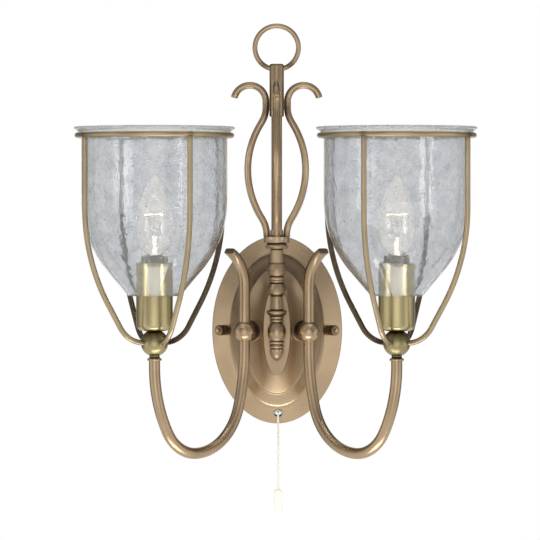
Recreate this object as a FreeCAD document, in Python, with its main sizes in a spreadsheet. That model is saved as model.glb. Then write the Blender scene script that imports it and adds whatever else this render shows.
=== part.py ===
import FreeCAD, Part
import math
import os
from types import SimpleNamespace

import Sketcher

# Double arm wall light, in millimetres.  +Z is up, the wall is the plane y = 0, the front faces -Y,
# and the origin is the middle of the oval backplate, between the two screws that hold it to the wall.
# An oval stepped backplate carries two bent tube arms.  Each arm ends in a ball that holds a wire cage,
# a brass cup with a lampholder, and a flared glass shade that hangs in the cage's ring by its lip.

V = FreeCAD.Vector
UP = V(0, 0, 1)
SIDES = (("left", -1), ("right", 1))

DRIVING = {
    # backplate: half width, half height and depth of each step of the pressed dome
    "plate_half_width": 61.3, "plate_half_height": 88.5, "plate_lip": 1.6, "plate_edge": 1.0,
    "flange_run": 16.5, "flange_rise": 12.9, "flange_drop_run": 15.2, "shoulder_run": 1.0,
    "shoulder_rise": 1.8, "cove_run": 11.0, "cove_drop_run": 11.4, "cove_rise": 2.7, "step_run": 1.0,
    "step_rise": 1.6, "face_run": 17.6, "face_drop_run": 16.2, "face_rise": 6.2, "crown_rise": 0.4,
    "crown_run": 0.8, "plate_wall": 0.9,
    # wall bracket and the side screws
    "strap_half": 33.0, "strap_height": 24.0, "strap_gauge": 1.5, "tongue_width": 26.0,
    "tongue_top": 42.0, "wall_screw_spacing": 50.8, "slot_half_width": 2.25, "slot_travel": 6.0,
    "tab_length": 13.0, "tab_width": 16.0, "tab_gap": 0.5, "stud_radius": 2.0, "side_screw_x": 49.9,
    "nut_radius": 4.9, "nut_length": 8.5, "earth_x": -8.0, "earth_level": -6.0, "earth_radius": 1.9,
    # terminals
    "block_width": 44.0, "block_depth": 12.0, "block_height": 16.0, "block_level": 22.0,
    "terminal_pitch": 10.5, "terminal_radius": 2.0,
    # arm roots
    "root_x": 30.0, "root_y": 44.0, "root_ball_radius": 10.0, "boss_start": 8.5, "boss_length": 12.3,
    "boss_radius": 10.3, "boss_neck": 6.0, "nipple_radius": 5.0, "nipple_bore": 3.2,
    # arms
    "tube_radius": 5.15, "tube_wall": 1.0, "arm_reach": 113.3, "arm_drop": 15.3, "arm_lean": 16.0,
    "arm_bend_root": 200.0, "arm_bend_belly": 56.0, "arm_bend_rise": 41.0, "arm_climb": 60.0,
    "tail_rise": 42.5, "tail_bend": 37.0, "tail_sweep": 34.0, "tail_end": 61.5,
    "tail_half_width": 6.1, "tail_half_thickness": 2.8, "flex_radius": 1.6, "flex_turn": 5.0,
    # lamps
    "lamp_ball_radius": 12.5, "lamp_ball_level": -7.8, "neck_level": -24.2, "neck_flange": 6.6,
    "cup_radius": 16.75, "cup_wall": 0.9, "cup_floor": 3.1, "cup_top": 65.2, "cup_corner": 6.0,
    "holder_radius": 11.9, "holder_stem": 9.0, "holder_top": 71.9, "shell_radius": 7.0,
    "shell_wall": 0.4,
    "ring_radius": 70.1, "ring_wire": 2.5, "ring_level": 180.8, "wire_radius": 2.5, "wire_seat": 9.2,
    "wire_start": 10.3, "wire_bend_low": 28.0, "wire_bend_high": 175.0, "wire_lean": 30.0,
    "glass_radius": 66.4, "glass_wall": 3.2, "glass_foot": 34.9, "glass_shoulder": 122.0,
    "glass_bend": 100.0, "glass_lean": 40.0, "lip_level": 178.8, "lip_bend": 6.0, "lip_flare": 58.0,
    "lip_radius": 73.3, "lip_top": 188.5,
    "bulb_radius": 17.5, "bulb_waist": 97.0, "bulb_tip": 146.1, "bulb_base": 48.0, "bulb_wall": 0.8,
    "cap_radius": 6.9, "cap_wall": 0.4, "filament_radius": 0.35,
    "filament_span": 18.4, "filament_sweep": 250.0, "filament_level": 109.0,
    # column in front of the plate, hanging ring and scrolls
    "spindle_y": 38.5, "column_top": 88.1, "column_tube_radius": 5.0, "tube_top": 238.0,
    "sleeve_radius": 6.75, "sleeve_bottom": 200.0, "sleeve_top": 249.2, "eye_radius": 20.3,
    "eye_wire": 2.3, "eye_level": 264.3, "stud_shoulder": 2.75, "stud_thread": 1.9, "stud_seat": 34.6,
    "scroll_radius": 3.2, "scroll_offset": 9.2, "scroll_foot": 1.0, "scroll_foot_bend": 30.0,
    "scroll_spread": 32.0, "scroll_belly": 86.8, "scroll_shoulder": 80.0, "scroll_close": 30.0,
    "scroll_slant": 5.7, "scroll_neck_bend": 25.0, "scroll_neck": 5.9, "scroll_hook": 15.0,
    "scroll_curl": 16.0,
    # pull switch
    "pull_x": 1.0, "cord_y": 9.65, "cord_radius": 1.0, "eyelet_level": -78.7, "eyelet_radius": 5.2,
    "eyelet_bore": 3.15, "eyelet_barrel": 3.95, "switch_top": -42.0, "switch_floor": -66.0,
    "switch_width": 22.0, "switch_depth": 10.6, "plunger_head": 3.92, "plunger_stem": 1.8,
    "spring_inner": 2.1, "spring_outer": 3.6, "pull_radius": 3.75, "pull_length": 21.9,
    "pull_top": -149.8,
}

# Turned members of the column in front of the plate, from the top down: name, radius at its top,
# radius at its bottom, height, and the radius of its rounded side where it is not straight.
UPPER_MEMBERS = (
    ("socket", 5.9, 5.9, 6.4, 0), ("collar", 12.1, 12.1, 5.6, 0), ("collar_groove", 9.2, 9.2, 2.2, 0),
    ("disc", 10.0, 10.0, 3.3, 4.0), ("throat", 5.7, 6.8, 14.5, 0), ("bell", 7.7, 9.5, 5.3, 0),
    ("bell_cup", 9.0, 7.0, 5.7, 9.0), ("bell_groove", 6.6, 6.6, 1.1, 0), ("bead_one", 7.6, 7.6, 2.6, 1.8),
    ("bead_two", 7.3, 7.3, 2.3, 1.6),
)
LOWER_MEMBERS = (
    ("waist_groove", 6.5, 6.5, 1.3, 0), ("band", 8.0, 9.4, 5.1, 0), ("band_cup", 9.0, 6.2, 5.75, 8.0),
    ("stem", 5.5, 6.2, 14.2, 0), ("brim", 8.8, 9.7, 1.0, 0), ("brim_edge", 9.75, 9.75, 1.1, 0),
    ("bowl", 9.2, 5.6, 3.1, 6.0), ("bead_three", 6.4, 6.4, 2.1, 1.5), ("bead_gap", 5.7, 5.7, 1.2, 0),
    ("bead_four", 6.1, 6.1, 1.8, 1.3), ("vase_groove", 5.3, 5.3, 1.5, 0), ("vase", 5.9, 5.9, 17.0, 15.0),
    ("bead_five", 6.8, 6.8, 2.2, 1.5), ("ring_gap", 6.1, 6.1, 1.5, 0), ("bead_six", 6.5, 6.5, 2.3, 1.6),
    ("tip_groove", 5.8, 5.8, 1.4, 0), ("tip", 6.8, 1.2, 10.4, 13.0),
)

document = FreeCAD.newDocument("double_arm_wall_light")
sheet = document.addObject("Spreadsheet::Sheet", "Sizes")


class Size:
    """A length or angle that knows its number and the sheet formula that it comes from."""

    def __init__(self, value, text):
        self.value = value
        self.text = text

    def __add__(self, other):
        other = size(other)
        return Size(self.value + other.value, "(%s + %s)" % (self.text, other.text))

    def __sub__(self, other):
        other = size(other)
        return Size(self.value - other.value, "(%s - %s)" % (self.text, other.text))

    def __mul__(self, other):
        other = size(other)
        return Size(self.value * other.value, "(%s * %s)" % (self.text, other.text))

    def __truediv__(self, other):
        other = size(other)
        return Size(self.value / other.value, "(%s / %s)" % (self.text, other.text))

    def __rsub__(self, other):
        return size(other) - self

    def __neg__(self):
        return size(-1) * self

    __radd__ = __add__
    __rmul__ = __mul__


def size(item):
    """A Size from a Size or from a plain number."""
    return item if isinstance(item, Size) else Size(float(item), repr(float(item)))


def sine(angle):
    return Size(math.sin(math.radians(size(angle).value)), "sin(%s * 1 deg)" % size(angle).text)


def cosine(angle):
    return Size(math.cos(math.radians(size(angle).value)), "cos(%s * 1 deg)" % size(angle).text)


def fill_sheet(table):
    """Write one named row for each driving size and give back the sizes by name."""
    named = {}
    for row, (alias, number) in enumerate(table.items(), 1):
        sheet.set("A%d" % row, alias)
        sheet.set("B%d" % row, str(number))
        sheet.setAlias("B%d" % row, alias)
        named[alias] = Size(float(number), "Sizes." + alias)
    return SimpleNamespace(**named)


def member_table(prefix, members):
    """The named sizes of a stack of turned members."""
    table = {}
    for name, top, bottom, height, bulge in members:
        table["%s_%s_top" % (prefix, name)] = top
        table["%s_%s_foot" % (prefix, name)] = bottom
        table["%s_%s_height" % (prefix, name)] = height
        if bulge:
            table["%s_%s_bulge" % (prefix, name)] = bulge
    return table


d = fill_sheet({**DRIVING, **member_table("upper", UPPER_MEMBERS), **member_table("lower", LOWER_MEMBERS)})
document.recompute()
nodes = {}


def keep(label, thing):
    """Name a finished piece after its node."""
    thing.Label = label
    nodes[label] = thing
    return thing


def make(kind, name, **amounts):
    """Add an object and bind its sizes to the sheet."""
    thing = document.addObject(kind, name)
    for key, amount in amounts.items():
        thing.setExpression(key, size(amount).text)
    return thing


def place(thing, x, y, z, rotation=None):
    """Put a piece at a point, each coordinate bound to the sheet, turned by a rotation."""
    spot = [size(x), size(y), size(z)]
    thing.Placement = FreeCAD.Placement(V(*[part.value for part in spot]), rotation or FreeCAD.Rotation())
    for axis, part in zip("xyz", spot):
        thing.setExpression("Placement.Base." + axis, part.text)
    return thing


def facing(direction):
    """The rotation that turns +Z to a direction."""
    return FreeCAD.Rotation(UP, direction)


def rod(name, radius, start, direction, length):
    """A round bar from a point along a direction."""
    bar = make("Part::Cylinder", name, Radius=radius, Height=length)
    return place(bar, start[0], start[1], start[2], facing(direction))


def brick(name, width, depth, height, corner, rotation=None):
    """A box from its lowest corner."""
    block = make("Part::Box", name, Length=width, Width=depth, Height=height)
    return place(block, corner[0], corner[1], corner[2], rotation)


def fuse(name, *pieces):
    joined = document.addObject("Part::MultiFuse", name)
    joined.Shapes = list(pieces)
    return joined


def cut(name, base, *tools):
    """A piece with one or more others taken out of it."""
    result = document.addObject("Part::Cut", name)
    result.Base = base
    result.Tool = tools[0] if len(tools) == 1 else fuse(name + "_tools", *tools)
    return result


def group(name, pieces):
    """Separate like solids that share one node."""
    bundle = document.addObject("Part::Compound", name)
    bundle.Links = list(pieces)
    return bundle


def origin_plane(body, role):
    return [plane for plane in body.Origin.OriginFeatures if plane.Role == role][0]


def corner_constraint(sketch, edge, end, axis, amount):
    """Hold one coordinate of an edge's end at a size, measured from the sketch's origin."""
    if abs(amount.value) < 1e-9:
        sketch.addConstraint(Sketcher.Constraint("PointOnObject", edge, end, -2 if axis == "X" else -1))
        return
    kind = "Distance" + axis
    if amount.value > 0:
        index = sketch.addConstraint(Sketcher.Constraint(kind, -1, 1, edge, end, amount.value))
        sketch.setExpression("Constraints[%d]" % index, amount.text)
        return
    index = sketch.addConstraint(Sketcher.Constraint(kind, edge, end, -1, 1, -amount.value))
    sketch.setExpression("Constraints[%d]" % index, (-amount).text)


def draw(body, name, plane, rows, closed=True):
    """Sketch an outline or a path on a body's own plane.

    Each row is across, up and, for an arc that arrives there, its radius: above zero the arc turns
    to the left of the way it runs, below zero to the right.
    """
    sketch = body.newObject("Sketcher::SketchObject", name)
    sketch.AttachmentSupport = [(origin_plane(body, plane), "")]
    sketch.MapMode = "FlatFace"
    points = [V(size(row[0]).value, size(row[1]).value, 0) for row in rows]
    ends = []
    for index in range(len(rows) if closed else len(rows) - 1):
        following = (index + 1) % len(rows)
        start = points[index]
        stop = points[following]
        if len(rows[following]) < 3:
            sketch.addGeometry(Part.LineSegment(start, stop))
            ends.append((1, 2))
            continue
        bend = size(rows[following][2])
        chord = stop - start
        left = V(-chord.y, chord.x, 0).normalize()
        height = math.sqrt(max(bend.value ** 2 - (chord.Length / 2) ** 2, 0))
        centre = (start + stop) * 0.5 + left * math.copysign(height, bend.value)
        first, last = (start, stop) if bend.value > 0 else (stop, start)
        low = math.atan2(first.y - centre.y, first.x - centre.x)
        high = math.atan2(last.y - centre.y, last.x - centre.x)
        circle = Part.Circle(centre, UP, abs(bend.value))
        sketch.addGeometry(Part.ArcOfCircle(circle, low, high if high > low else high + 2 * math.pi))
        number = sketch.addConstraint(Sketcher.Constraint("Radius", index, abs(bend.value)))
        sketch.setExpression("Constraints[%d]" % number, (bend if bend.value > 0 else -bend).text)
        ends.append((1, 2) if bend.value > 0 else (2, 1))
    for index, (begin, finish) in enumerate(ends):
        following = (index + 1) % len(ends)
        if closed or following:
            constraint = Sketcher.Constraint("Coincident", index, finish, following, ends[following][0])
            sketch.addConstraint(constraint)
        corner_constraint(sketch, index, begin, "X", size(rows[index][0]))
        corner_constraint(sketch, index, begin, "Y", size(rows[index][1]))
    if not closed:
        corner_constraint(sketch, len(ends) - 1, ends[-1][1], "X", size(rows[-1][0]))
        corner_constraint(sketch, len(ends) - 1, ends[-1][1], "Y", size(rows[-1][1]))
    return sketch


def turned(name, rows):
    """A lathe-turned piece: rows are radius and height about the piece's own Z axis."""
    body = document.addObject("PartDesign::Body", name)
    outline = draw(body, name + "_outline", "XZ_Plane", rows)
    spin = body.newObject("PartDesign::Revolution", name + "_turning")
    spin.Profile = outline
    spin.ReferenceAxis = (outline, ["V_Axis"])
    spin.Angle = 360
    return body


def circles(body, name, radii):
    """Concentric circles on a body's ground plane, each radius bound to the sheet."""
    sketch = body.newObject("Sketcher::SketchObject", name)
    sketch.AttachmentSupport = [(origin_plane(body, "XY_Plane"), "")]
    sketch.MapMode = "FlatFace"
    for index, radius in enumerate(radii):
        radius = size(radius)
        sketch.addGeometry(Part.Circle(V(0, 0, 0), UP, radius.value))
        sketch.addConstraint(Sketcher.Constraint("Coincident", index, 3, -1, 1))
        number = sketch.addConstraint(Sketcher.Constraint("Radius", index, radius.value))
        sketch.setExpression("Constraints[%d]" % number, radius.text)
    return sketch


def piped(name, radii, *routes):
    """Bar or tube bent along routes in the piece's own XZ plane.

    Each route leaves the piece's origin along Z, as straight runs and tangent arcs.
    """
    body = document.addObject("PartDesign::Body", name)
    for number, rows in enumerate(routes, 1):
        profile = circles(body, "%s_section_%d" % (name, number), radii)
        route = draw(body, "%s_route_%d" % (name, number), "XZ_Plane", rows, closed=False)
        pipe = body.newObject("PartDesign::AdditivePipe", "%s_pipe_%d" % (name, number))
        pipe.Profile = profile
        pipe.Spine = (route, ["Edge%d" % (edge + 1) for edge in range(len(rows) - 1)])
    return body


def around(angle):
    """The rotation that turns +X by an angle about Z."""
    return FreeCAD.Rotation(UP, angle)


# --- backplate -------------------------------------------------------------------------------------
# Pressed from brass sheet in oval steps: lip, sloping flange, shoulder, cove, step, inner face, crown.
# Each step is the half width, the half height and how far it stands off the wall.

def plate_steps():
    steps = [(d.plate_half_width, d.plate_half_height, size(0))]
    moves = (
        (size(0), size(0), d.plate_lip), (d.plate_edge, d.plate_edge, d.plate_edge),
        (d.flange_run, d.flange_drop_run, d.flange_rise),
        (d.shoulder_run, d.shoulder_run, d.shoulder_rise), (d.cove_run, d.cove_drop_run, d.cove_rise),
        (d.step_run, d.step_run, d.step_rise), (d.face_run, d.face_drop_run, d.face_rise),
        (d.crown_run, d.crown_run, d.crown_rise),
    )
    for run, drop_run, rise in moves:
        width, height, depth = steps[-1]
        steps.append((width - run, height - drop_run, depth + rise))
    return steps


def oval_stack(name, steps):
    """A solid through ovals that stand upright, one behind the other."""
    upright = FreeCAD.Rotation(V(0, 0, 1), V(1, 0, 0), V(0, -1, 0), "ZXY")
    ovals = []
    for number, (width, height, depth) in enumerate(steps):
        oval = make("Part::Ellipse", "%s_oval_%d" % (name, number), MajorRadius=height, MinorRadius=width)
        ovals.append(place(oval, 0, -depth, 0, upright))
    solid = document.addObject("Part::Loft", name)
    solid.Sections = ovals
    solid.Solid = True
    solid.Ruled = True
    return solid


steps = plate_steps()
flange_outer = steps[2]
crown_depth = steps[8][2]
hollow_steps = [(width - d.plate_wall, height - d.plate_wall, depth - d.plate_wall)
                for width, height, depth in steps[1:]]
hollow_steps.insert(0, (d.plate_half_width - d.plate_wall, d.plate_half_height - d.plate_wall, size(0)))

flange_slope = math.degrees(math.atan2(d.flange_rise.value, d.flange_run.value))
bottom_slope = math.degrees(math.atan2(d.flange_rise.value, d.flange_drop_run.value))
face_slope = math.degrees(math.atan2(d.face_rise.value, d.face_run.value))

# The side screws stand square to the flange; the cord's eyelet stands square to its lower part.
screw_depth = flange_outer[2] + (flange_outer[0] - d.side_screw_x) * d.flange_rise / d.flange_run
eyelet_depth = flange_outer[2] + (flange_outer[1] + d.eyelet_level) * d.flange_rise / d.flange_drop_run
eyelet_out = V(0, -math.cos(math.radians(bottom_slope)), -math.sin(math.radians(bottom_slope)))


def side_out(side):
    """Outward from the flange beside a side screw."""
    return V(side * math.sin(math.radians(flange_slope)), -math.cos(math.radians(flange_slope)), 0)


def inward(side):
    """From a root ball along its boss into the plate."""
    return V(-side * math.sin(math.radians(face_slope)), math.cos(math.radians(face_slope)), 0)


def along(start, direction, distance):
    """A point at a bound distance from a start along a fixed direction."""
    return tuple(size(begin) + size(distance) * part
                 for begin, part in zip(start, (direction.x, direction.y, direction.z)))


def root_centre(side):
    return (d.root_x * side, -d.root_y, size(0))


def side_screw(side):
    return (d.side_screw_x * side, -screw_depth, size(0))


eyelet_spot = (d.pull_x, -eyelet_depth, d.eyelet_level)
stud_levels = (26.0, -2.0)
plate_holes = [rod("eyelet_hole", d.eyelet_barrel, along(eyelet_spot, eyelet_out, -4), eyelet_out, 8)]
for side_name, side in SIDES:
    plate_holes.append(rod("nipple_hole_" + side_name, d.nipple_radius + 0.1,
                           along(root_centre(side), inward(side), 15), inward(side), 12))
    plate_holes.append(rod("side_hole_" + side_name, d.stud_radius + 0.3,
                           along(side_screw(side), side_out(side), -5), side_out(side), 10))
for number, level in enumerate(stud_levels):
    plate_holes.append(rod("stud_hole_%d" % number, d.stud_thread + 0.05,
                           (0, -(crown_depth + 1), level), V(0, 1, 0), 4))
backplate = cut("backplate_cut", oval_stack("plate_outside", steps),
                oval_stack("plate_inside", hollow_steps), *plate_holes)
keep("backplate", backplate)


# --- wall bracket, side screws and terminals ----------------------------------------------------------
# Steel strap with two slots for the wall screws, an upright tongue for the terminals, and bent ends
# whose tabs lie just behind the flange and carry the studs of the two knurled nuts.

strap = brick("strap", d.strap_half * 2, d.strap_gauge, d.strap_height,
              (-d.strap_half, -d.strap_gauge, -d.strap_height / 2))
tongue = brick("tongue", d.tongue_width, d.strap_gauge, d.tongue_top,
               (-d.tongue_width / 2, -d.strap_gauge, 0))
bracket_parts = [strap, tongue]
bracket_holes = []
studs = []
thumb_nuts = []
tab_depth = d.plate_wall * 1.4 + d.tab_gap
for side_name, side in SIDES:
    outward = side_out(side)
    run = V(-outward.y, outward.x, 0)
    tab_back = along(side_screw(side), outward, -(tab_depth + d.strap_gauge))
    tab_corner = along(along(tab_back, run, -d.tab_length / 2), outward, d.strap_gauge)
    tab = brick("tab_" + side_name, d.tab_length, d.strap_gauge, d.tab_width,
                (tab_corner[0], tab_corner[1], -d.tab_width / 2), around(side * flange_slope))
    foot = V(side * (d.strap_half.value - 0.9), -d.strap_gauge.value / 2, 0)
    bend = along(tab_back, run, -side * (d.tab_length / 2 - 0.4))
    leg_way = V(bend[0].value, bend[1].value - 0.4, 0) - foot
    leg_corner = foot + V(leg_way.y, -leg_way.x, 0).normalize() * (d.strap_gauge.value / 2)
    leg_turn = math.degrees(math.atan2(leg_way.y, leg_way.x))
    leg = brick("leg_" + side_name, leg_way.Length, d.strap_gauge, d.tab_width,
                (leg_corner.x, leg_corner.y, -d.tab_width / 2), around(leg_turn))
    bracket_parts += [tab, leg]
    stud_start = along(side_screw(side), outward, -(tab_depth + d.strap_gauge + 0.8))
    bracket_holes.append(rod("stud_seat_" + side_name, d.stud_radius,
                             along(stud_start, outward, -2), outward, 8))
    studs.append(rod("stud_" + side_name, d.stud_radius, stud_start, outward,
                     tab_depth + d.strap_gauge + d.nut_length + 1.9))
    nut = turned("knurled_nut_" + side_name, (
        (d.stud_radius, 0), (d.nut_radius - 0.7, 0), (d.nut_radius, 0.7),
        (d.nut_radius, d.nut_length - 1.0), (d.nut_radius - 1.0, d.nut_length),
        (d.stud_radius, d.nut_length)))
    seat = along(side_screw(side), outward, 0.25)
    thumb_nuts.append(place(nut, seat[0], seat[1], seat[2], facing(outward)))
    slot_x = d.wall_screw_spacing / 2 * side
    for shift in (-0.5, 0.5):
        bracket_holes.append(rod("slot_end", d.slot_half_width, (slot_x + d.slot_travel * shift, 1, 0),
                                 V(0, -1, 0), 4))
    bracket_holes.append(brick("slot_middle", d.slot_travel, 4, d.slot_half_width * 2,
                               (slot_x - d.slot_travel / 2, -3, -d.slot_half_width)))
bracket_holes.append(rod("earth_hole", d.earth_radius, (d.earth_x, 1, d.earth_level), V(0, -1, 0), 4))
keep("wall_bracket", cut("wall_bracket_cut", fuse("bracket_blank", *bracket_parts), *bracket_holes))
keep("thumb_studs", group("stud_pair", studs))
keep("thumb_nuts", group("nut_pair", thumb_nuts))

earth_head = rod("earth_head", d.earth_radius * 2, (d.earth_x, -d.strap_gauge, d.earth_level), V(0, -1, 0),
                 2.4)
earth_shank = rod("earth_shank", d.earth_radius, (d.earth_x, 0, d.earth_level), V(0, -1, 0), 3.0)
earth_slot = brick("earth_slot", 8, 1.2, 1.0, (d.earth_x - 4, -d.strap_gauge - 2.4, d.earth_level - 0.5))
keep("earth_screw", cut("earth_screw_cut", fuse("earth_blank", earth_head, earth_shank), earth_slot))

block_front = d.strap_gauge + d.block_depth
block = brick("block_blank", d.block_width, d.block_depth, d.block_height,
              (-d.block_width / 2, -block_front, d.block_level))
terminals = []
screw_holes = []
for number in range(4):
    terminal_x = d.terminal_pitch * (number - 1.5)
    spot = (terminal_x, -block_front, d.block_level + d.block_height / 2)
    screw_holes.append(rod("terminal_hole_%d" % number, d.terminal_radius, spot, V(0, 1, 0), 6))
    terminals.append(rod("terminal_screw_%d" % number, d.terminal_radius,
                         (spot[0], spot[1] + 1.2, spot[2]), V(0, 1, 0), 4.8))
keep("terminal_block", cut("terminal_block_cut", block, *screw_holes))
keep("terminal_screws", group("terminal_screw_set", terminals))


# --- arm roots: hollow nipple, nut, boss and ball -------------------------------------------------------
# A threaded nipple runs from the ball through the boss and the plate to a nut on the inside.

seat_distance = d.boss_start + d.boss_length
hollow_nipples = []
arm_nuts = []
for side_name, side in SIDES:
    centre = root_centre(side)
    way = inward(side)
    turn = facing(way)
    nipple = turned("arm_nipple_" + side_name, (
        (d.nipple_bore, 5.5), (d.nipple_radius, 5.5), (d.nipple_radius, seat_distance + 6.6),
        (d.nipple_bore, seat_distance + 6.6)))
    hollow_nipples.append(place(nipple, centre[0], centre[1], centre[2], turn))
    blank = make("Part::Prism", "hexagon_" + side_name, Circumradius=8.1, Height=3.8)
    blank.Polygon = 6
    nut_spot = along(centre, way, seat_distance + 1.5)
    place(blank, nut_spot[0], nut_spot[1], nut_spot[2], turn)
    arm_nuts.append(cut("arm_nut_" + side_name, blank,
                        rod("arm_nut_bore_" + side_name, d.nipple_radius, nut_spot, way, 5)))
    boss = turned("boss_blank_" + side_name, (
        (d.nipple_radius, d.boss_start), (d.boss_neck, d.boss_start),
        (d.boss_neck, d.boss_start + 4.5), (d.boss_radius - 2.0, seat_distance - 3.4, -6.0),
        (d.boss_radius, seat_distance - 2.4), (d.boss_radius, seat_distance - 0.6),
        (d.boss_radius - 0.6, seat_distance), (d.nipple_radius, seat_distance)))
    keep("arm_boss_" + side_name, place(boss, centre[0], centre[1], centre[2], turn))
    ball = make("Part::Sphere", "root_ball_blank_" + side_name, Radius=d.root_ball_radius)
    place(ball, centre[0], centre[1], centre[2])
    tube_way = rod("tube_way_" + side_name, d.tube_radius, (centre[0], centre[1], -12), UP, 24)
    nipple_way = rod("nipple_way_" + side_name, d.nipple_radius, along(centre, way, 0), way, 12)
    boss_flat = rod("boss_flat_" + side_name, d.boss_neck + 1.5, along(centre, way, d.boss_start), way, 6)
    keep("root_ball_" + side_name, cut("root_ball_cut_" + side_name, ball, tube_way, nipple_way, boss_flat))
keep("arm_nuts", group("arm_nut_pair", arm_nuts))


# --- arms and the flex inside them ----------------------------------------------------------------------
# One brass tube each: down from the ball, round under the lamp in four tangent bends and straight up
# into the lamp's neck; above the ball a short tail curls outward and is pressed flat at its end.

def arm_route(start):
    """The arm's centre line below the ball, from a start under the ball's centre to the lamp's neck."""
    lean = d.arm_lean
    climb = d.arm_climb
    root_end = (d.arm_bend_root * (1 - cosine(lean)), start - d.arm_drop - d.arm_bend_root * sine(lean))
    bottom = (root_end[0] + d.arm_bend_belly * cosine(lean),
              root_end[1] - d.arm_bend_belly * (1 - sine(lean)))
    rise = (bottom[0] + d.arm_bend_rise * sine(climb), bottom[1] + d.arm_bend_rise * (1 - cosine(climb)))
    last_bend = (d.arm_reach - rise[0]) / (1 - sine(climb))
    upright = (d.arm_reach, rise[1] + last_bend * cosine(climb))
    return ((0, 0), (0, start - d.arm_drop), (*root_end, d.arm_bend_root), (*bottom, d.arm_bend_belly),
            (*rise, d.arm_bend_rise), (*upright, last_bend))


def tail_point(angle):
    """A point of the tail's bend, in the arm's own plane."""
    return (d.tail_bend * (1 - cosine(angle)), d.tail_rise + d.tail_bend * sine(angle))


def arm_spot(side, across, up):
    """A point of the arm's own plane, in the part's frame."""
    return (side * (d.root_x + across * cosine(45)), -(d.root_y + across * cosine(45)), up)


arm_turn = {"left": -135, "right": -45}
block_run = d.root_y / math.cos(math.radians(face_slope)) - 8.0
for side_name, side in SIDES:
    route = (*arm_route(size(0)), (d.arm_reach, d.neck_level))
    tail_route = ((0, 0), (0, d.tail_rise), (*tail_point(d.tail_sweep), -d.tail_bend))
    tube = piped("arm_tube_" + side_name, (d.tube_radius, d.tube_radius - d.tube_wall), route, tail_route)
    place(tube, d.root_x * side, -d.root_y, 0, around(arm_turn[side_name]))
    sections = []
    for share in (0.0, 0.5, 1.0):
        angle = d.tail_sweep + (d.tail_end - d.tail_sweep) * share
        across, up = tail_point(angle)
        wide = d.tube_radius + (d.tail_half_width - d.tube_radius) * share
        thick = d.tube_radius + (d.tail_half_thickness - d.tube_radius) * share + 0.001
        section = make("Part::Ellipse", "tail_section_" + side_name,
                       MajorRadius=wide + 0.002, MinorRadius=thick)
        plane_way = V(side * math.cos(math.pi / 4), -math.cos(math.pi / 4), 0)
        lean = math.radians(angle.value)
        tangent = plane_way * math.sin(lean) + UP * math.cos(lean)
        level = V(plane_way.y, -plane_way.x, 0)
        turn = FreeCAD.Rotation(level, tangent.cross(level), tangent, "ZXY")
        sections.append(place(section, *arm_spot(side, across, up), turn))
    tail_end = document.addObject("Part::Loft", "tail_end_" + side_name)
    tail_end.Sections = sections
    tail_end.Solid = True
    flex_way = rod("flex_way_" + side_name, d.flex_radius + 0.8, root_centre(side), inward(side), 7)
    keep("arm_" + side_name, cut("arm_cut_" + side_name, fuse("arm_blank_" + side_name, tube, tail_end),
                                 flex_way))
    flex_route = (*arm_route(d.flex_turn), (d.arm_reach, d.flex_turn + 41.0))
    lower = piped("flex_lower_" + side_name, (d.flex_radius,), flex_route)
    place(lower, d.root_x * side, -d.root_y, -d.flex_turn, around(arm_turn[side_name]))
    upper_route = ((0, 0), (d.flex_turn, d.flex_turn, -d.flex_turn), (block_run - 7.0, d.flex_turn),
                   (block_run, d.flex_turn + 7.0, 7.0), (block_run, d.flex_turn + d.block_level))
    upper = piped("flex_upper_" + side_name, (d.flex_radius,), upper_route)
    place(upper, d.root_x * side, -d.root_y, -d.flex_turn, around(90 + side * face_slope))
    keep("arm_flex_" + side_name, fuse("flex_" + side_name, lower, upper))


# --- lamps --------------------------------------------------------------------------------------------
# On each arm, from below: neck, ball, hollow nipple, brass cup, lampholder, and from the ball's sides
# four wires that rise to the ring in which the glass hangs.

def lamp_spot(side, up=0):
    """A point on a lamp's axis."""
    return (side * (d.root_x + d.arm_reach * cosine(45)), -(d.root_y + d.arm_reach * cosine(45)), up)


def at_lamp(side, thing):
    return place(thing, *lamp_spot(side))


def neck_rows():
    top = d.lamp_ball_level - 11.5
    return ((2.6, d.neck_level - 6), (d.tube_radius - d.tube_wall, d.neck_level - 6),
            (d.tube_radius - d.tube_wall, d.neck_level), (d.neck_flange - 0.5, d.neck_level),
            (d.neck_flange, d.neck_level + 0.6), (d.neck_flange, d.neck_level + 1.6),
            (d.neck_flange - 0.5, d.neck_level + 2.2), (4.7, d.neck_level + 2.2), (4.7, top), (2.6, top))


def cup_rows():
    corner = d.cup_radius - d.cup_corner
    floor = d.cup_floor + d.cup_wall
    return ((d.nipple_radius, d.cup_floor), (corner, d.cup_floor),
            (d.cup_radius, d.cup_floor + d.cup_corner, d.cup_corner), (d.cup_radius, d.cup_top),
            (d.cup_radius - d.cup_wall, d.cup_top),
            (d.cup_radius - d.cup_wall, d.cup_floor + d.cup_corner),
            (corner, floor, d.cup_wall - d.cup_corner), (d.nipple_radius, floor))


def holder_rows():
    floor = d.cup_floor + d.cup_wall
    bore = d.shell_radius + d.shell_wall
    return ((d.nipple_radius, floor), (d.holder_stem, floor), (d.holder_stem, 36), (d.holder_radius, 38),
            (d.holder_radius, d.holder_top - 0.8), (d.holder_radius - 0.8, d.holder_top),
            (bore, d.holder_top), (bore, 46), (1.5, 46), (1.5, 42), (6, 42), (6, 13), (d.nipple_radius, 13))


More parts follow.
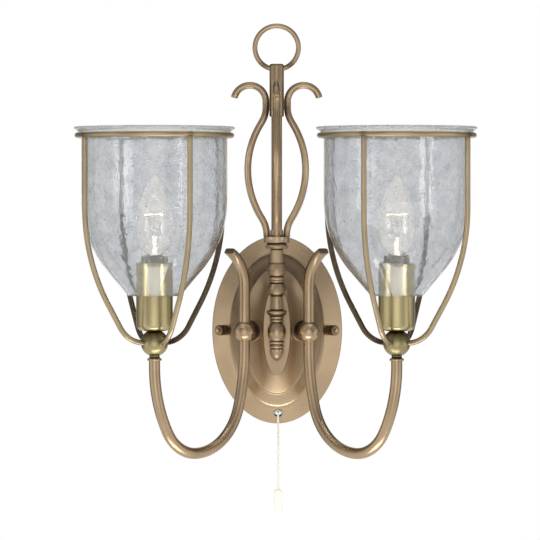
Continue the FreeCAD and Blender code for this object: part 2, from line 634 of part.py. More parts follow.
def glass_rows():
    """Blown glass of even wall: ground foot, cone, wide bend, straight side and flared lip."""
    centre = d.glass_radius - d.glass_bend
    slope = sine(d.glass_lean) / cosine(d.glass_lean)

    def side(wall):
        """Foot, knee and flare of one face of the wall, a given distance in from the outside."""
        bend = d.glass_bend - wall
        knee = (centre + bend * cosine(d.glass_lean), d.glass_shoulder - bend * sine(d.glass_lean))
        foot = (knee[0] - (knee[1] - d.glass_foot) * slope, d.glass_foot)
        flare = d.lip_bend + wall
        lip = (d.glass_radius - wall + flare * (1 - cosine(d.lip_flare)),
               d.lip_level + flare * sine(d.lip_flare))
        return bend, knee, foot, flare, lip

    bend, knee, foot, flare, lip = side(size(0))
    inner_bend, inner_knee, inner_foot, inner_flare, inner_lip = side(d.glass_wall)
    run_out = cosine(d.lip_flare) / sine(d.lip_flare)
    lip_edge = lip[1] + (d.lip_radius - lip[0]) * run_out
    lip_inside = inner_lip[0] + (d.lip_top - inner_lip[1]) / run_out
    return (inner_foot, foot, knee, (d.glass_radius, d.glass_shoulder, bend),
            (d.glass_radius, d.lip_level), (*lip, -flare), (d.lip_radius, lip_edge),
            (d.lip_radius, d.lip_top - 0.9), (d.lip_radius - 0.9, d.lip_top), (lip_inside, d.lip_top),
            inner_lip, (d.glass_radius - d.glass_wall, d.lip_level, inner_flare),
            (d.glass_radius - d.glass_wall, d.glass_shoulder), (*inner_knee, -inner_bend))


def bulb_rows():
    """Candle bulb: neck in the cap, shoulder, waist, and a tapering tip closed at the top."""
    neck = d.cap_radius - d.cap_wall - 0.05
    wall = d.bulb_wall
    inner = d.bulb_radius - wall
    return ((neck, 66), (neck, 72.3), (10.9, 73.9), (12.9, 78.5), (d.bulb_radius, d.bulb_waist, 39.5),
            (9.2, 130.5, 71.8), (3.3, 142.6), (0.6, d.bulb_tip, 4.2), (0, d.bulb_tip),
            (0, d.bulb_tip - 0.9), (0.5, d.bulb_tip - 0.9), (2.7, 142.2, -3.6), (8.45, 130.2),
            (inner, d.bulb_waist, -71.0), (12.15, 78.8, -38.7), (10.3, 74.6), (neck - wall, 73.0),
            (neck - wall, 66))


def wire_route():
    """A cage wire's centre line, from its seat in the ball: out, up in two bends, straight to the ring."""
    low = d.wire_bend_low
    lean = d.wire_lean
    first = (d.wire_start + low * cosine(lean), low * (1 - sine(lean)))
    last_x = d.ring_radius - d.wire_bend_high * (1 - cosine(lean))
    climb = (last_x - first[0]) * cosine(lean) / sine(lean)
    second = (last_x, first[1] + climb)
    third = (d.ring_radius, second[1] + d.wire_bend_high * sine(lean))
    top = d.ring_level - d.lamp_ball_level
    return ((d.wire_seat, 0), (d.wire_start, 0), (*first, low), second, (*third, d.wire_bend_high),
            (d.ring_radius, top))


def cage_wire(name, side, angle):
    """One cage wire, its foot in the ball and its top cut to the ring."""
    body = document.addObject("PartDesign::Body", name)
    section = circles(body, name + "_section", (d.wire_radius,))
    section.AttachmentSupport = [(origin_plane(body, "YZ_Plane"), "")]
    section.AttachmentOffset = FreeCAD.Placement(V(0, 0, d.wire_seat.value), FreeCAD.Rotation())
    section.setExpression("AttachmentOffset.Base.z", d.wire_seat.text)
    rows = wire_route()
    route = draw(body, name + "_route", "XZ_Plane", rows, closed=False)
    pipe = body.newObject("PartDesign::AdditivePipe", name + "_pipe")
    pipe.Profile = section
    pipe.Spine = (route, ["Edge%d" % (edge + 1) for edge in range(len(rows) - 1)])
    return place(body, *lamp_spot(side, d.lamp_ball_level), around(angle - 90))


def filament(name, side):
    """A level arc of wire, open at the back, on three lead wires that spread from the top of the stem."""
    radius = d.filament_span / 2
    wire = make("Part::Torus", name + "_arc", Radius1=radius, Radius2=d.filament_radius,
                Angle3=d.filament_sweep)
    opening = 90 + (360 - d.filament_sweep.value) / 2
    place(wire, *lamp_spot(side, d.filament_level), around(opening))
    leads = []
    for share in (0, 0.5, 1):
        angle = math.radians(opening + d.filament_sweep.value * share)
        top = V(radius.value * math.cos(angle), radius.value * math.sin(angle), d.filament_level.value)
        foot = V(top.x * 0.17, top.y * 0.17, 90)
        start = lamp_spot(side)
        leads.append(rod(name + "_lead", d.filament_radius,
                         (start[0] + foot.x, start[1] + foot.y, foot.z), top - foot, (top - foot).Length))
    return fuse(name, wire, *leads)


wire_angles = {"left": -60.5, "right": -26.0}
shells = []
contacts = []
for side_name, side in SIDES:
    keep("lamp_neck_" + side_name, at_lamp(side, turned("neck_" + side_name, neck_rows())))
    wires = [cage_wire("wire_%s_%d" % (side_name, number), side, wire_angles[side_name] + 90 * number)
             for number in range(4)]
    ball = make("Part::Sphere", "lamp_ball_blank_" + side_name, Radius=d.lamp_ball_radius)
    place(ball, *lamp_spot(side, d.lamp_ball_level))
    ball_tools = [
        rod("ball_bore_" + side_name, d.nipple_radius, lamp_spot(side, d.lamp_ball_level - 10.2), UP, 30),
        rod("ball_way_" + side_name, 2.6, lamp_spot(side, d.lamp_ball_level - 14), UP, 6),
        rod("ball_foot_" + side_name, 8, lamp_spot(side, d.lamp_ball_level - 11.5), V(0, 0, -1), 4),
        rod("ball_head_" + side_name, 10, lamp_spot(side, d.cup_floor), UP, 4),
    ]
    keep("lamp_ball_" + side_name, cut("lamp_ball_cut_" + side_name, ball, *ball_tools, *wires))
    hollow_nipples.append(at_lamp(side, turned("lamp_nipple_" + side_name, (
        (d.nipple_bore, d.lamp_ball_level - 10.2), (d.nipple_radius, d.lamp_ball_level - 10.2),
        (d.nipple_radius, 13), (d.nipple_bore, 13)))))
    ring = make("Part::Torus", "ring_" + side_name, Radius1=d.ring_radius, Radius2=d.ring_wire)
    keep("cage_ring_" + side_name, place(ring, *lamp_spot(side, d.ring_level)))
    trimmed = [cut("wire_cut_%s_%d" % (side_name, number), wire, ring)
               for number, wire in enumerate(wires)]
    keep("cage_wires_" + side_name, group("wire_set_" + side_name, trimmed))
    keep("cup_" + side_name, at_lamp(side, turned("cup_shell_" + side_name, cup_rows())))
    keep("lampholder_" + side_name, at_lamp(side, turned("holder_" + side_name, holder_rows())))
    shells.append(at_lamp(side, turned("holder_shell_" + side_name, (
        (d.shell_radius, 50), (d.shell_radius + d.shell_wall, 50), (d.shell_radius + d.shell_wall, 70),
        (d.shell_radius, 70)))))
    contacts.append(at_lamp(side, turned("holder_contact_" + side_name, (
        (0, 42), (1.5, 42), (1.5, 46), (3.2, 46), (3.2, 46.8), (2.0, 47.7), (0, 47.7)))))
    keep("glass_shade_" + side_name, at_lamp(side, turned("shade_" + side_name, glass_rows())))
    keep("bulb_glass_" + side_name, at_lamp(side, turned("envelope_" + side_name, bulb_rows())))
    keep("bulb_cap_" + side_name, at_lamp(side, turned("cap_" + side_name, (
        (d.cap_radius - d.cap_wall, d.bulb_base + 5), (d.cap_radius, d.bulb_base + 5),
        (d.cap_radius, 71.6), (d.cap_radius - d.cap_wall, 71.6)))))
    keep("bulb_contact_" + side_name, at_lamp(side, turned("contact_" + side_name, (
        (0, d.bulb_base), (1.8, d.bulb_base), (2.3, d.bulb_base + 0.6), (2.3, d.bulb_base + 1.4),
        (3.4, d.bulb_base + 1.6), (6.2, d.bulb_base + 5), (6.2, d.bulb_base + 6.5),
        (0, d.bulb_base + 6.5)))))
    keep("bulb_stem_" + side_name, at_lamp(side, turned("stem_" + side_name, (
        (0, 66.5), (5.2, 66.5), (5.2, 67.4), (2.6, 74.5), (2.0, 86.0), (2.4, 89.4), (0, 90.0)))))
    keep("bulb_filament_" + side_name, filament("filament_" + side_name, side))
keep("hollow_nipples", group("nipple_set", hollow_nipples))
keep("lampholder_shells", group("shell_pair", shells))
keep("lampholder_contacts", group("contact_pair", contacts))


# --- column: turned pieces, tube, sleeve, hanging ring and three scrolls --------------------------------

def member_rows(prefix, members):
    """The turned side of a stack of members, from the top down, with the top at height 0."""
    rows = []
    level = size(0)
    for name, *_, bulge in members:
        stem = "%s_%s_" % (prefix, name)
        top = getattr(d, stem + "top")
        foot = getattr(d, stem + "foot")
        if not rows or abs(rows[-1][0].value - top.value) > 1e-6:
            rows.append((top, level))
        level = level - getattr(d, stem + "height")
        rows.append((foot, level, -getattr(d, stem + "bulge")) if bulge else (foot, level))
    return rows, level


upper_side, upper_foot = member_rows("upper", UPPER_MEMBERS)
lower_side, lower_foot = member_rows("lower", LOWER_MEMBERS)
socket_top = d.column_top + d.upper_socket_height
tube_seat = -(d.upper_socket_height + 10.0)
spigot = 3.0
upper = turned("upper_turning", (
    (d.column_tube_radius, 0), *upper_side, (spigot, upper_foot), (spigot, upper_foot + 13),
    (d.column_tube_radius - 0.9, upper_foot + 13), (d.column_tube_radius - 0.9, tube_seat),
    (d.column_tube_radius, tube_seat)))
place(upper, 0, -d.spindle_y, socket_top)
lower = turned("lower_turning", (
    (0, 12), (spigot, 12), (spigot, 0), *lower_side, (0, lower_foot)))
place(lower, 0, -d.spindle_y, socket_top + upper_foot)
column_studs = []
stud_nuts = []
stud_bores = []
for number, level in enumerate(stud_levels):
    shoulder = rod("stud_shoulder_%d" % number, d.stud_shoulder, (0, -crown_depth, level), V(0, -1, 0),
                   d.stud_seat - crown_depth)
    thread = rod("stud_thread_%d" % number, d.stud_thread, (0, -22.4, level), V(0, -1, 0),
                 d.stud_seat - 22.4)
    column_studs.append(fuse("column_stud_%d" % number, shoulder, thread))
    stud_bores.append(rod("stud_bore_%d" % number, d.stud_shoulder, (0, -crown_depth, level), V(0, -1, 0),
                          d.stud_seat - crown_depth))
    disc = rod("stud_nut_%d" % number, 3.8, (0, -(crown_depth - 1.3), level), V(0, 1, 0), 2.8)
    stud_nuts.append(cut("stud_nut_cut_%d" % number, disc,
                         rod("stud_nut_bore_%d" % number, d.stud_thread, (0, -28, level), V(0, 1, 0), 8)))
keep("spindle_upper", upper)
keep("spindle_lower", cut("lower_cut", lower, *stud_bores))
keep("spindle_studs", group("column_stud_pair", column_studs))
keep("spindle_nuts", group("stud_nut_pair", stud_nuts))

column = turned("column_tube", (
    (d.column_tube_radius - 0.9, socket_top + tube_seat), (d.column_tube_radius, socket_top + tube_seat),
    (d.column_tube_radius, d.tube_top), (d.column_tube_radius - 0.9, d.tube_top)))
keep("centre_tube", place(column, 0, -d.spindle_y, 0))
sleeve_blank = turned("sleeve_blank", (
    (0, d.tube_top), (d.column_tube_radius, d.tube_top), (d.column_tube_radius, d.sleeve_bottom),
    (d.sleeve_radius - 0.4, d.sleeve_bottom), (d.sleeve_radius, d.sleeve_bottom + 0.4),
    (d.sleeve_radius, d.sleeve_top - 1.2), (d.sleeve_radius - 1.2, d.sleeve_top), (0, d.sleeve_top)))
place(sleeve_blank, 0, -d.spindle_y, 0)
eye = make("Part::Torus", "eye_torus", Radius1=d.eye_radius, Radius2=d.eye_wire)
place(eye, 0, -d.spindle_y, d.eye_level, FreeCAD.Rotation(V(1, 0, 0), 90))
keep("tube_sleeve", cut("sleeve_cut", sleeve_blank, eye))
keep("hanging_ring", eye)


def onward(points, across, up, *bend):
    """Add a point at a step from the last one, reached straight or by an arc of a given radius."""
    points.append((points[-1][0] + across, points[-1][1] + up, *bend))


def scroll_route():
    """A scroll's centre line from the collar up: out, back in, up beside the sleeve and over outward."""
    points = [(size(0), size(0)), (size(0), d.scroll_foot)]
    for radius, angle, way, hand in (
            (d.scroll_foot_bend, d.scroll_spread, 1, -1), (d.scroll_belly, d.scroll_spread, 1, 1),
            (d.scroll_shoulder, d.scroll_close, -1, 1)):
        onward(points, radius * (1 - cosine(angle)) * way, radius * sine(angle), radius * hand)
    onward(points, -d.scroll_slant * sine(d.scroll_close), d.scroll_slant * cosine(d.scroll_close))
    onward(points, -d.scroll_neck_bend * (1 - cosine(d.scroll_close)),
           d.scroll_neck_bend * sine(d.scroll_close), -d.scroll_neck_bend)
    onward(points, 0, d.scroll_neck)
    onward(points, d.scroll_hook, d.scroll_hook, -d.scroll_hook)
    onward(points, d.scroll_hook * cosine(d.scroll_curl), d.scroll_hook * (sine(d.scroll_curl) - 1),
           -d.scroll_hook)
    return points


for side_name, heading in (("left", 180), ("right", 0), ("front", -90)):
    bar = piped("scroll_bar_" + side_name, (d.scroll_radius,), scroll_route())
    way = around(heading).multVec(V(1, 0, 0))
    foot = along((0, -d.spindle_y, d.column_top), way, d.scroll_offset)
    keep("scroll_" + side_name, place(bar, foot[0], foot[1], foot[2], around(heading)))


# --- pull switch ------------------------------------------------------------------------------------------
# A small switch behind the plate; its sprung plunger pulls down on the cord, which leaves through an
# eyelet in the sloping flange and carries a plain pull.

cord_x = d.pull_x
plunger_top = d.switch_top - 8.0
housing = brick("switch_case", d.switch_width, d.switch_depth, d.switch_top - d.switch_floor,
                (cord_x - d.switch_width / 2, -(d.cord_y + d.switch_depth / 2), d.switch_floor))
chamber = rod("switch_chamber", 4.0, (cord_x, -d.cord_y, d.switch_floor + 2), UP, 16)
throat = rod("switch_throat", d.plunger_stem + 0.08, (cord_x, -d.cord_y, d.switch_floor - 1), UP, 4)
keep("switch_housing", cut("switch_housing_cut", housing, chamber, throat))
head_foot = plunger_top - 2.5
plunger = turned("plunger_blank", (
    (0, d.switch_floor - 3), (d.plunger_stem, d.switch_floor - 3), (d.plunger_stem, head_foot),
    (d.plunger_head, head_foot), (d.plunger_head, plunger_top), (0, plunger_top)))
keep("switch_plunger", place(plunger, cord_x, -d.cord_y, 0))
spring = turned("spring_blank", (
    (d.spring_inner, d.switch_floor + 2), (d.spring_outer, d.switch_floor + 2),
    (d.spring_outer, head_foot), (d.spring_inner, head_foot)))
keep("switch_spring", place(spring, cord_x, -d.cord_y, 0))
eyelet = turned("eyelet_blank", (
    (d.eyelet_bore, -1.4), (d.eyelet_barrel, -1.4), (d.eyelet_barrel, 0.1), (d.eyelet_radius, 0.1),
    (d.eyelet_radius, 0.4), (d.eyelet_radius - 0.5, 0.8), (d.eyelet_bore + 0.3, 0.8),
    (d.eyelet_bore, 0.5)))
keep("cord_eyelet", place(eyelet, *eyelet_spot, facing(eyelet_out)))
swing_level = d.eyelet_level + 0.2
inner_length = d.switch_floor - 3 - (swing_level + 0.5)
keep("cord_inner", rod("cord_inner_bar", d.cord_radius, (cord_x, -d.cord_y, swing_level + 0.5), UP,
                       inner_length))
cord_end = d.pull_top - 3.0
keep("pull_cord", rod("pull_cord_bar", d.cord_radius, (cord_x, -d.cord_y, cord_end), UP,
                      swing_level - 0.3 - cord_end))
pull = turned("pull_blank", (
    (0, 0), (d.pull_radius - 0.4, 0), (d.pull_radius, 0.4), (d.pull_radius, d.pull_length - 4.6),
    (1.6, d.pull_length, 4.8), (d.cord_radius, d.pull_length), (d.cord_radius, d.pull_length - 3),
    (0, d.pull_length - 3)))
keep("cord_pull", place(pull, cord_x, -d.cord_y, d.pull_top - d.pull_length))


# --- check and write --------------------------------------------------------------------------------------

document.recompute()
for thing in document.Objects:
    for state in thing.State:
        if state in ("Invalid", "Error"):
            raise SystemExit("%s (%s) is %s" % (thing.Name, thing.Label, state))
for label, thing in nodes.items():
    if thing.Shape.isNull() or not thing.Shape.isValid():
        raise SystemExit("%s has no valid shape" % label)
os.makedirs("parts", exist_ok=True)
for label, thing in nodes.items():
    thing.Shape.exportStep("parts/%s.step" % label)
    print("%-24s solids %d volume %.1f" % (label, len(thing.Shape.Solids), thing.Shape.Volume))
print("nodes", len(nodes))
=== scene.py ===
from functools import partial
import math

import bmesh
import bpy
import numpy as np
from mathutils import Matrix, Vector


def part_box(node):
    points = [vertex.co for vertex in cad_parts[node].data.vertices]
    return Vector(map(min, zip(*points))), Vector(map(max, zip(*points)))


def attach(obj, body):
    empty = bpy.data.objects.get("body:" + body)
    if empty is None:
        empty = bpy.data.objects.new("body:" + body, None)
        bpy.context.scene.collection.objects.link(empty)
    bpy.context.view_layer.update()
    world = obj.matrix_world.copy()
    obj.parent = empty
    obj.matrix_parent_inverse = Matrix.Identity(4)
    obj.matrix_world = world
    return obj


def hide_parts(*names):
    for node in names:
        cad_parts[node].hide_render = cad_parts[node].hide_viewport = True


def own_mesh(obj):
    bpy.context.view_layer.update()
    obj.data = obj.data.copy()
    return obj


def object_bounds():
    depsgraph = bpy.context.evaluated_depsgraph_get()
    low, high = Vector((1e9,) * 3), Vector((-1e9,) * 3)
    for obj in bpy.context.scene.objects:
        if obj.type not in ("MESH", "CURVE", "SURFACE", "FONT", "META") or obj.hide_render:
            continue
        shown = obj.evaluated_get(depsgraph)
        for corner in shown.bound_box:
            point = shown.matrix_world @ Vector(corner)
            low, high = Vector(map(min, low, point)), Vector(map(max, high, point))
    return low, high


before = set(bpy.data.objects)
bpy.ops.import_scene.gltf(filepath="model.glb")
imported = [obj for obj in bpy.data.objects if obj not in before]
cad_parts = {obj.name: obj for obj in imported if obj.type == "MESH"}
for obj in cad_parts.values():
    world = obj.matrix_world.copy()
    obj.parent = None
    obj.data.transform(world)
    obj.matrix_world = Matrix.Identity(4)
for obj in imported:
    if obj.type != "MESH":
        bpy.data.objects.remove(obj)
cad_box = [list(corner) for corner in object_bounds()]
MM = 0.001


# --- Camera ---
# The light was photographed from the front, from a little above the middle of its backplate,
# with a long lens 3.3 m away, so that the lamps look hardly larger than the plate behind them.

def in_scene(name, data):
    """A new object at the scene's origin, for a camera, a light, a mesh or a curve."""
    made = bpy.data.objects.new(name, data)
    bpy.context.scene.collection.objects.link(made)
    return made


FOCAL_PIXELS = 3520.0
FRAME_PIXELS = 540.0
HORIZON_ROW = 214.0
PLUMB_COLUMN = 276.7
CAMERA_SPOT = (40 * MM, -3323 * MM, 109.3 * MM)
COLUMN_DEPTH = 38.5 * MM
middle_pixel = FRAME_PIXELS / 2

camera_data = bpy.data.cameras.new("camera")
camera_data.sensor_width = 36.0
camera_data.lens = camera_data.sensor_width * FOCAL_PIXELS / FRAME_PIXELS
camera_data.clip_end = 50.0
camera = in_scene("camera", camera_data)
camera.location = CAMERA_SPOT
pitch = math.atan((middle_pixel - HORIZON_ROW) / FOCAL_PIXELS)
yaw = (math.atan((PLUMB_COLUMN - middle_pixel) / FOCAL_PIXELS)
        + math.atan(CAMERA_SPOT[0] / (-CAMERA_SPOT[1] - COLUMN_DEPTH)))
camera.rotation_euler = (math.pi / 2 - pitch, 0.0, yaw)
bpy.context.scene.camera = camera
bpy.context.scene.view_settings.view_transform = "Standard"


# --- Pull cord ---
# A thin braided cord in off-white polyester, which hangs straight from the switch through the
# eyelet under the weight of its pull. All of it shows, 74 mm with the end inside the pull.

def linear(hex_colour):
    """A colour written as six hex digits in sRGB, as linear red, green, blue and alpha."""
    parts = [int(hex_colour[i:i + 2], 16) / 255 for i in (0, 2, 4)]
    return (*[p / 12.92 if p <= 0.04045 else ((p + 0.055) / 1.055) ** 2.4 for p in parts], 1.0)


def add_node(tree, kind, inputs=None, **settings):
    """One node with its settings and its inputs.

    An input is a value, a colour in hex digits, an output, or a node, which gives its first output.
    """
    made = tree.nodes.new("ShaderNode" + kind)
    for name, value in settings.items():
        setattr(made, name, value)
    for socket, value in (inputs or {}).items():
        if isinstance(value, str):
            value = linear(value)
        if isinstance(value, bpy.types.Node):
            value = value.outputs[0]
        if isinstance(value, bpy.types.NodeSocket):
            tree.links.new(value, made.inputs[socket])
        else:
            made.inputs[socket].default_value = value
    return made


def new_material(name, finish, *values):
    """A new material. Its finish adds the nodes, for the values given, and returns the shader."""
    material = bpy.data.materials.new(name)
    material.use_nodes = True
    material.node_tree.nodes.clear()
    add = partial(add_node, material.node_tree)
    add("OutputMaterial", {"Surface": finish(add, *values)})
    return material


def dress(piece, body, slot_name, finish, *nodes):
    """Give a piece its finish, its body, its material slot and the CAD nodes that it stands for.
    The slot name is not used.
    """
    piece.data.materials.append(finish)
    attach(piece, body)
    if nodes:
        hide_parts(*nodes)


def braided_polyester(add):
    """Braid of 0.5 mm strands: fine crossing ridges that take the shine off."""
    strand = 0.5 * MM
    where = add("TexCoord").outputs["Object"]
    ridges = add("TexWave", {"Vector": where, "Scale": 0.2 / strand, "Distortion": 2.0},
            bands_direction="DIAGONAL")
    raised = add("Bump", {"Height": ridges.outputs["Fac"], "Strength": 0.5, "Distance": 0.15 * MM})
    # The tone follows the ridges, darker in the grooves: painted shade between strands.
    tone = add("Mix", {0: ridges.outputs["Fac"], 6: "D9D2BE", 7: "F4F0E2"}, data_type="RGBA")
    return add("BsdfPrincipled", {"Base Color": tone.outputs[2], "Roughness": 0.75,
            "Normal": raised})


cord_low, cord_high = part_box("pull_cord")
cord_x = (cord_low.x + cord_high.x) / 2
cord_y = (cord_low.y + cord_high.y) / 2
cord_radius = 1.0 * MM
cord_route = [(cord_x, cord_y, level) for level in (cord_high.z, -103 * MM, -128 * MM, cord_low.z)]
cord_curve = bpy.data.curves.new("switch_cord", "CURVE")
cord_curve.dimensions = "3D"
spline = cord_curve.splines.new("NURBS")
spline.points.add(len(cord_route) - 1)
for point, spot in zip(spline.points, cord_route):
    point.co = (*spot, 1.0)
spline.order_u = 3
spline.use_endpoint_u = True
cord_curve.bevel_depth = cord_radius
cord_curve.bevel_resolution = 6
cord_curve.use_fill_caps = True
switch_cord = in_scene("switch_cord", cord_curve)
dress(switch_cord, "pull", "cord", new_material("braided_polyester", braided_polyester),
        "pull_cord")


# --- Cord pull ---
# A plain weight moulded in ivory urea plastic, flat at its foot and domed at its top. The last
# 3 mm of the cord is held inside it.

def smooth_mesh(name, points, close_rows=False, sharp_degrees=40):
    """A closed piece from rows of points, each row joined round and to the next by quads.

    The last row joins the first where asked. Doubles are merged, and the faces turned outward and
    shaded smooth.
    """
    rows, columns = points.shape[:2]
    row = np.arange(rows if close_rows else rows - 1)[:, None]
    column = np.arange(columns)[None, :]
    after_row = (row + 1) % rows
    after_column = (column + 1) % columns
    here, below = row * columns, after_row * columns
    corners = (here + column, here + after_column, below + after_column, below + column)
    faces = np.stack([c.ravel() for c in corners], axis=1)
    mesh = bpy.data.meshes.new(name)
    mesh.from_pydata(points.reshape(-1, 3).tolist(), [], faces.tolist())
    shell = bmesh.new()
    shell.from_mesh(mesh)
    bmesh.ops.remove_doubles(shell, verts=shell.verts, dist=0.002 * MM)
    bmesh.ops.recalc_face_normals(shell, faces=shell.faces)
    shell.to_mesh(mesh)
    shell.free()
    mesh.shade_smooth()
    mesh.set_sharp_from_angle(angle=math.radians(sharp_degrees))
    return in_scene(name, mesh)


def eased(corners, easing, steps=4):
    """A profile through corners, in mm, each corner rounded by a small tangent arc.

    The corner is replaced by a quadratic curve that starts and ends at the easing's distance from
    it, or at 0.45 of a shorter neighbour.
    """
    corners = np.array(corners, float)
    made = [corners[0]]
    share = np.linspace(0, 1, steps)[:, None]
    for before, here, after in zip(corners[:-2], corners[1:-1], corners[2:]):
        reach_in = min(easing, 0.45 * np.linalg.norm(here - before))
        reach_out = min(easing, 0.45 * np.linalg.norm(after - here))
        start = here + (before - here) / np.linalg.norm(before - here) * reach_in
        stop = here + (after - here) / np.linalg.norm(after - here) * reach_out
        made.extend(start * (1 - share) ** 2 + here * 2 * share * (1 - share) + stop * share ** 2)
    made.append(corners[-1])
    return np.array(made)


def turns_round(count):
    """Angles evenly round a circle."""
    return np.linspace(0, 2 * np.pi, count, endpoint=False)


def lathe(name, profile, centre, direction=(0, 0, 1), segments=96, closed=False):
    """A profile of radius and height in mm, turned round an axis through the centre.

    A point is centre + radius * (cos t * side + sin t * other) + height * direction.
    """
    axis = np.array(Vector(direction).normalized())
    side = np.array(Vector(direction).orthogonal().normalized())
    other = np.cross(axis, side)
    turn = turns_round(segments)
    ring = np.cos(turn)[:, None] * side + np.sin(turn)[:, None] * other
    profile = np.array(profile, float) * MM
    reach, height = profile[:, None, 0, None], profile[:, None, 1, None]
    points = np.array(centre) + reach * ring[None] + height * axis
    return smooth_mesh(name, points, closed)


def moulded_ivory(add):
    """Urea moulding: smooth, slightly translucent, with faint flow marks."""
    where = add("TexCoord").outputs["Object"]
    flow = add("TexNoise", {"Vector": where, "Scale": 1 / (6 * MM), "Detail": 2.0})
    tone = add("Mix", {0: flow, 6: "F3ECCF", 7: "FBF6E3"}, data_type="RGBA")
    return add("BsdfPrincipled", {"Base Color": tone.outputs[2], "Roughness": 0.28, "IOR": 1.5})


pull_low, pull_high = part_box("cord_pull")
pull_length = (pull_high.z - pull_low.z) / MM
pull_radius = (pull_high.x - pull_low.x) / 2 / MM
dome = [(pull_radius * math.sin(a), pull_length - 3.2 + 3.2 * math.cos(a))
        for a in np.linspace(math.pi / 2, 0.28, 9)]
pull_profile = [*eased([(0, 0), (pull_radius, 0), (pull_radius, pull_length - 3.2)], 0.5), *dome,
        (1.02, pull_length - 0.5), (1.02, pull_length - 3), (0, pull_length - 3)]
pull = lathe("cord_weight", pull_profile, (cord_x, cord_y, pull_low.z), segments=64)
dress(pull, "pull", "pull_plastic", new_material("moulded_ivory", moulded_ivory), "cord_pull")


# --- Studio ---
# A white room: a pale floor below the light, and a white surround that shows behind it and through
# the glass. Metal sees a dimmer, uneven room: bright sides, a dim ceiling and dark behind.

COMPASS_GREYS = ((0.0, 1.0), (0.07, 0.95), (0.12, 0.5), (0.165, 0.43), (0.18, 0.7), (0.195, 0.41),
        (0.26, 0.39), (0.3, 0.55), (0.33, 1.0), (0.36, 0.6), (0.42, 0.76), (0.5, 0.68), (0.6, 0.34),
        (0.7, 0.15), (0.86, 0.2), (0.93, 0.7), (1.0, 0.7))
HEIGHT_GREYS = ((0.0, 1.0), (0.48, 1.0), (0.56, 0.85), (0.66, 0.55), (0.85, 0.45), (0.95, 0.7),
        (1.0, 0.9))


def white_surround():
    """White to the camera and through glass; in reflections, grey by compass heading and by height.

    The compass runs from 0, ahead of the light, to 1, behind it; the height from 0, below, to 1,
    above.
    """
    world = bpy.data.worlds.new("studio")
    world.use_nodes = True
    world.node_tree.nodes.clear()
    add = partial(add_node, world.node_tree)
    heading = add("SeparateXYZ", {"Vector": add("TexCoord").outputs["Generated"]})
    forward = add("Math", {0: heading.outputs["Y"], 1: -1.0}, operation="MULTIPLY")
    compass = add("Math", {0: heading.outputs["X"], 1: forward}, operation="ARCTAN2")
    aside = add("Math", {0: compass}, operation="ABSOLUTE")
    share = add("Math", {0: aside, 1: math.pi}, operation="DIVIDE")
    height = add("MapRange", {"Value": heading.outputs["Z"], "From Min": -1.0})
    around = add("ValToRGB", {"Fac": share})
    above = add("ValToRGB", {"Fac": height})
    for level, greys in ((around, COMPASS_GREYS), (above, HEIGHT_GREYS)):
        for position, grey in greys[1:-1]:
            level.color_ramp.elements.new(position)
        for element, (position, grey) in zip(level.color_ramp.elements, greys):
            element.position = position
            element.color = (grey, grey, grey, 1)
    bright = add("Math", {0: above, 1: 1.35}, operation="MULTIPLY")
    path = add("LightPath")
    seen = add("Math", {0: path.outputs["Is Camera Ray"], 1: path.outputs["Is Transmission Ray"]},
            operation="MAXIMUM")
    plain = add("Background", {"Color": (1, 1, 1, 1), "Strength": 1.0})
    reflected = add("Background", {"Color": around, "Strength": bright})
    diffuse = add("Background", {"Color": (1, 1, 1, 1), "Strength": 0.55})
    lit = add("MixShader", {"Fac": path.outputs["Is Glossy Ray"], 1: diffuse, 2: reflected})
    shown = add("MixShader", {"Fac": seen, 1: lit, 2: plain})
    add("OutputWorld", {"Surface": shown})
    return world


def pale_floor_paint(add):
    """Matt white paint: white but for shadows, directly and through glass; even in reflections."""
    path = add("LightPath")
    seen = add("Math", {0: path.outputs["Is Camera Ray"], 1: path.outputs["Is Transmission Ray"]},
            operation="MAXIMUM")
    paint = add("BsdfDiffuse", {"Color": "F4F4F4"})
    glow = add("Emission", {"Color": (1, 1, 1, 1), "Strength": 0.6})
    both = add("AddShader", {0: paint, 1: glow})
    mixed = add("MixShader", {"Fac": seen, 1: paint, 2: both})
    even = add("Emission", {"Color": (1, 1, 1, 1), "Strength": 0.85})
    return add("MixShader", {"Fac": path.outputs["Is Glossy Ray"], 1: mixed, 2: even})


def softbox(name, spot, aim, width, height, watts, mirrored=False):
    """A rectangular soft light at a spot, turned to its aim; metal and glass may mirror it."""
    light = bpy.data.lights.new(name, "AREA")
    light.shape = "RECTANGLE"
    light.size = width
    light.size_y = height
    light.energy = watts
    holder = in_scene(name, light)
    holder.location = spot
    holder.rotation_euler = (Vector(aim) - Vector(spot)).to_track_quat("-Z", "Y").to_euler()
    holder.visible_camera = False
    holder.visible_glossy = mirrored


bpy.context.scene.world = white_surround()
light_middle = Vector((0, -0.08, 0.06))
softbox("left_softbox", (-1.7, -1.3, 0.5), light_middle, 0.9, 1.6, 22)
softbox("right_softbox", (1.6, -1.5, 0.3), light_middle, 0.7, 1.5, 22)
softbox("front_low_softbox", (0.0, -0.25, -0.5), (0, -0.02, -0.07), 0.5, 0.14, 0.9, mirrored=True)
softbox("top_softbox", (0.0, -0.6, 1.7), light_middle, 1.4, 0.9, 12)

FLOOR_DROP = 0.55
floor_mesh = bpy.data.meshes.new("floor")
floor_half = 1.4
floor_level = cad_box[0][2] - FLOOR_DROP
floor_corners = [(x * floor_half, y * floor_half, floor_level)
        for x, y in ((-1, -1), (1, -1), (1, 1), (-1, 1))]
floor_mesh.from_pydata(floor_corners, [], [(0, 1, 2, 3)])
floor = in_scene("floor", floor_mesh)
floor.data.materials.append(new_material("pale_floor_paint", pale_floor_paint))
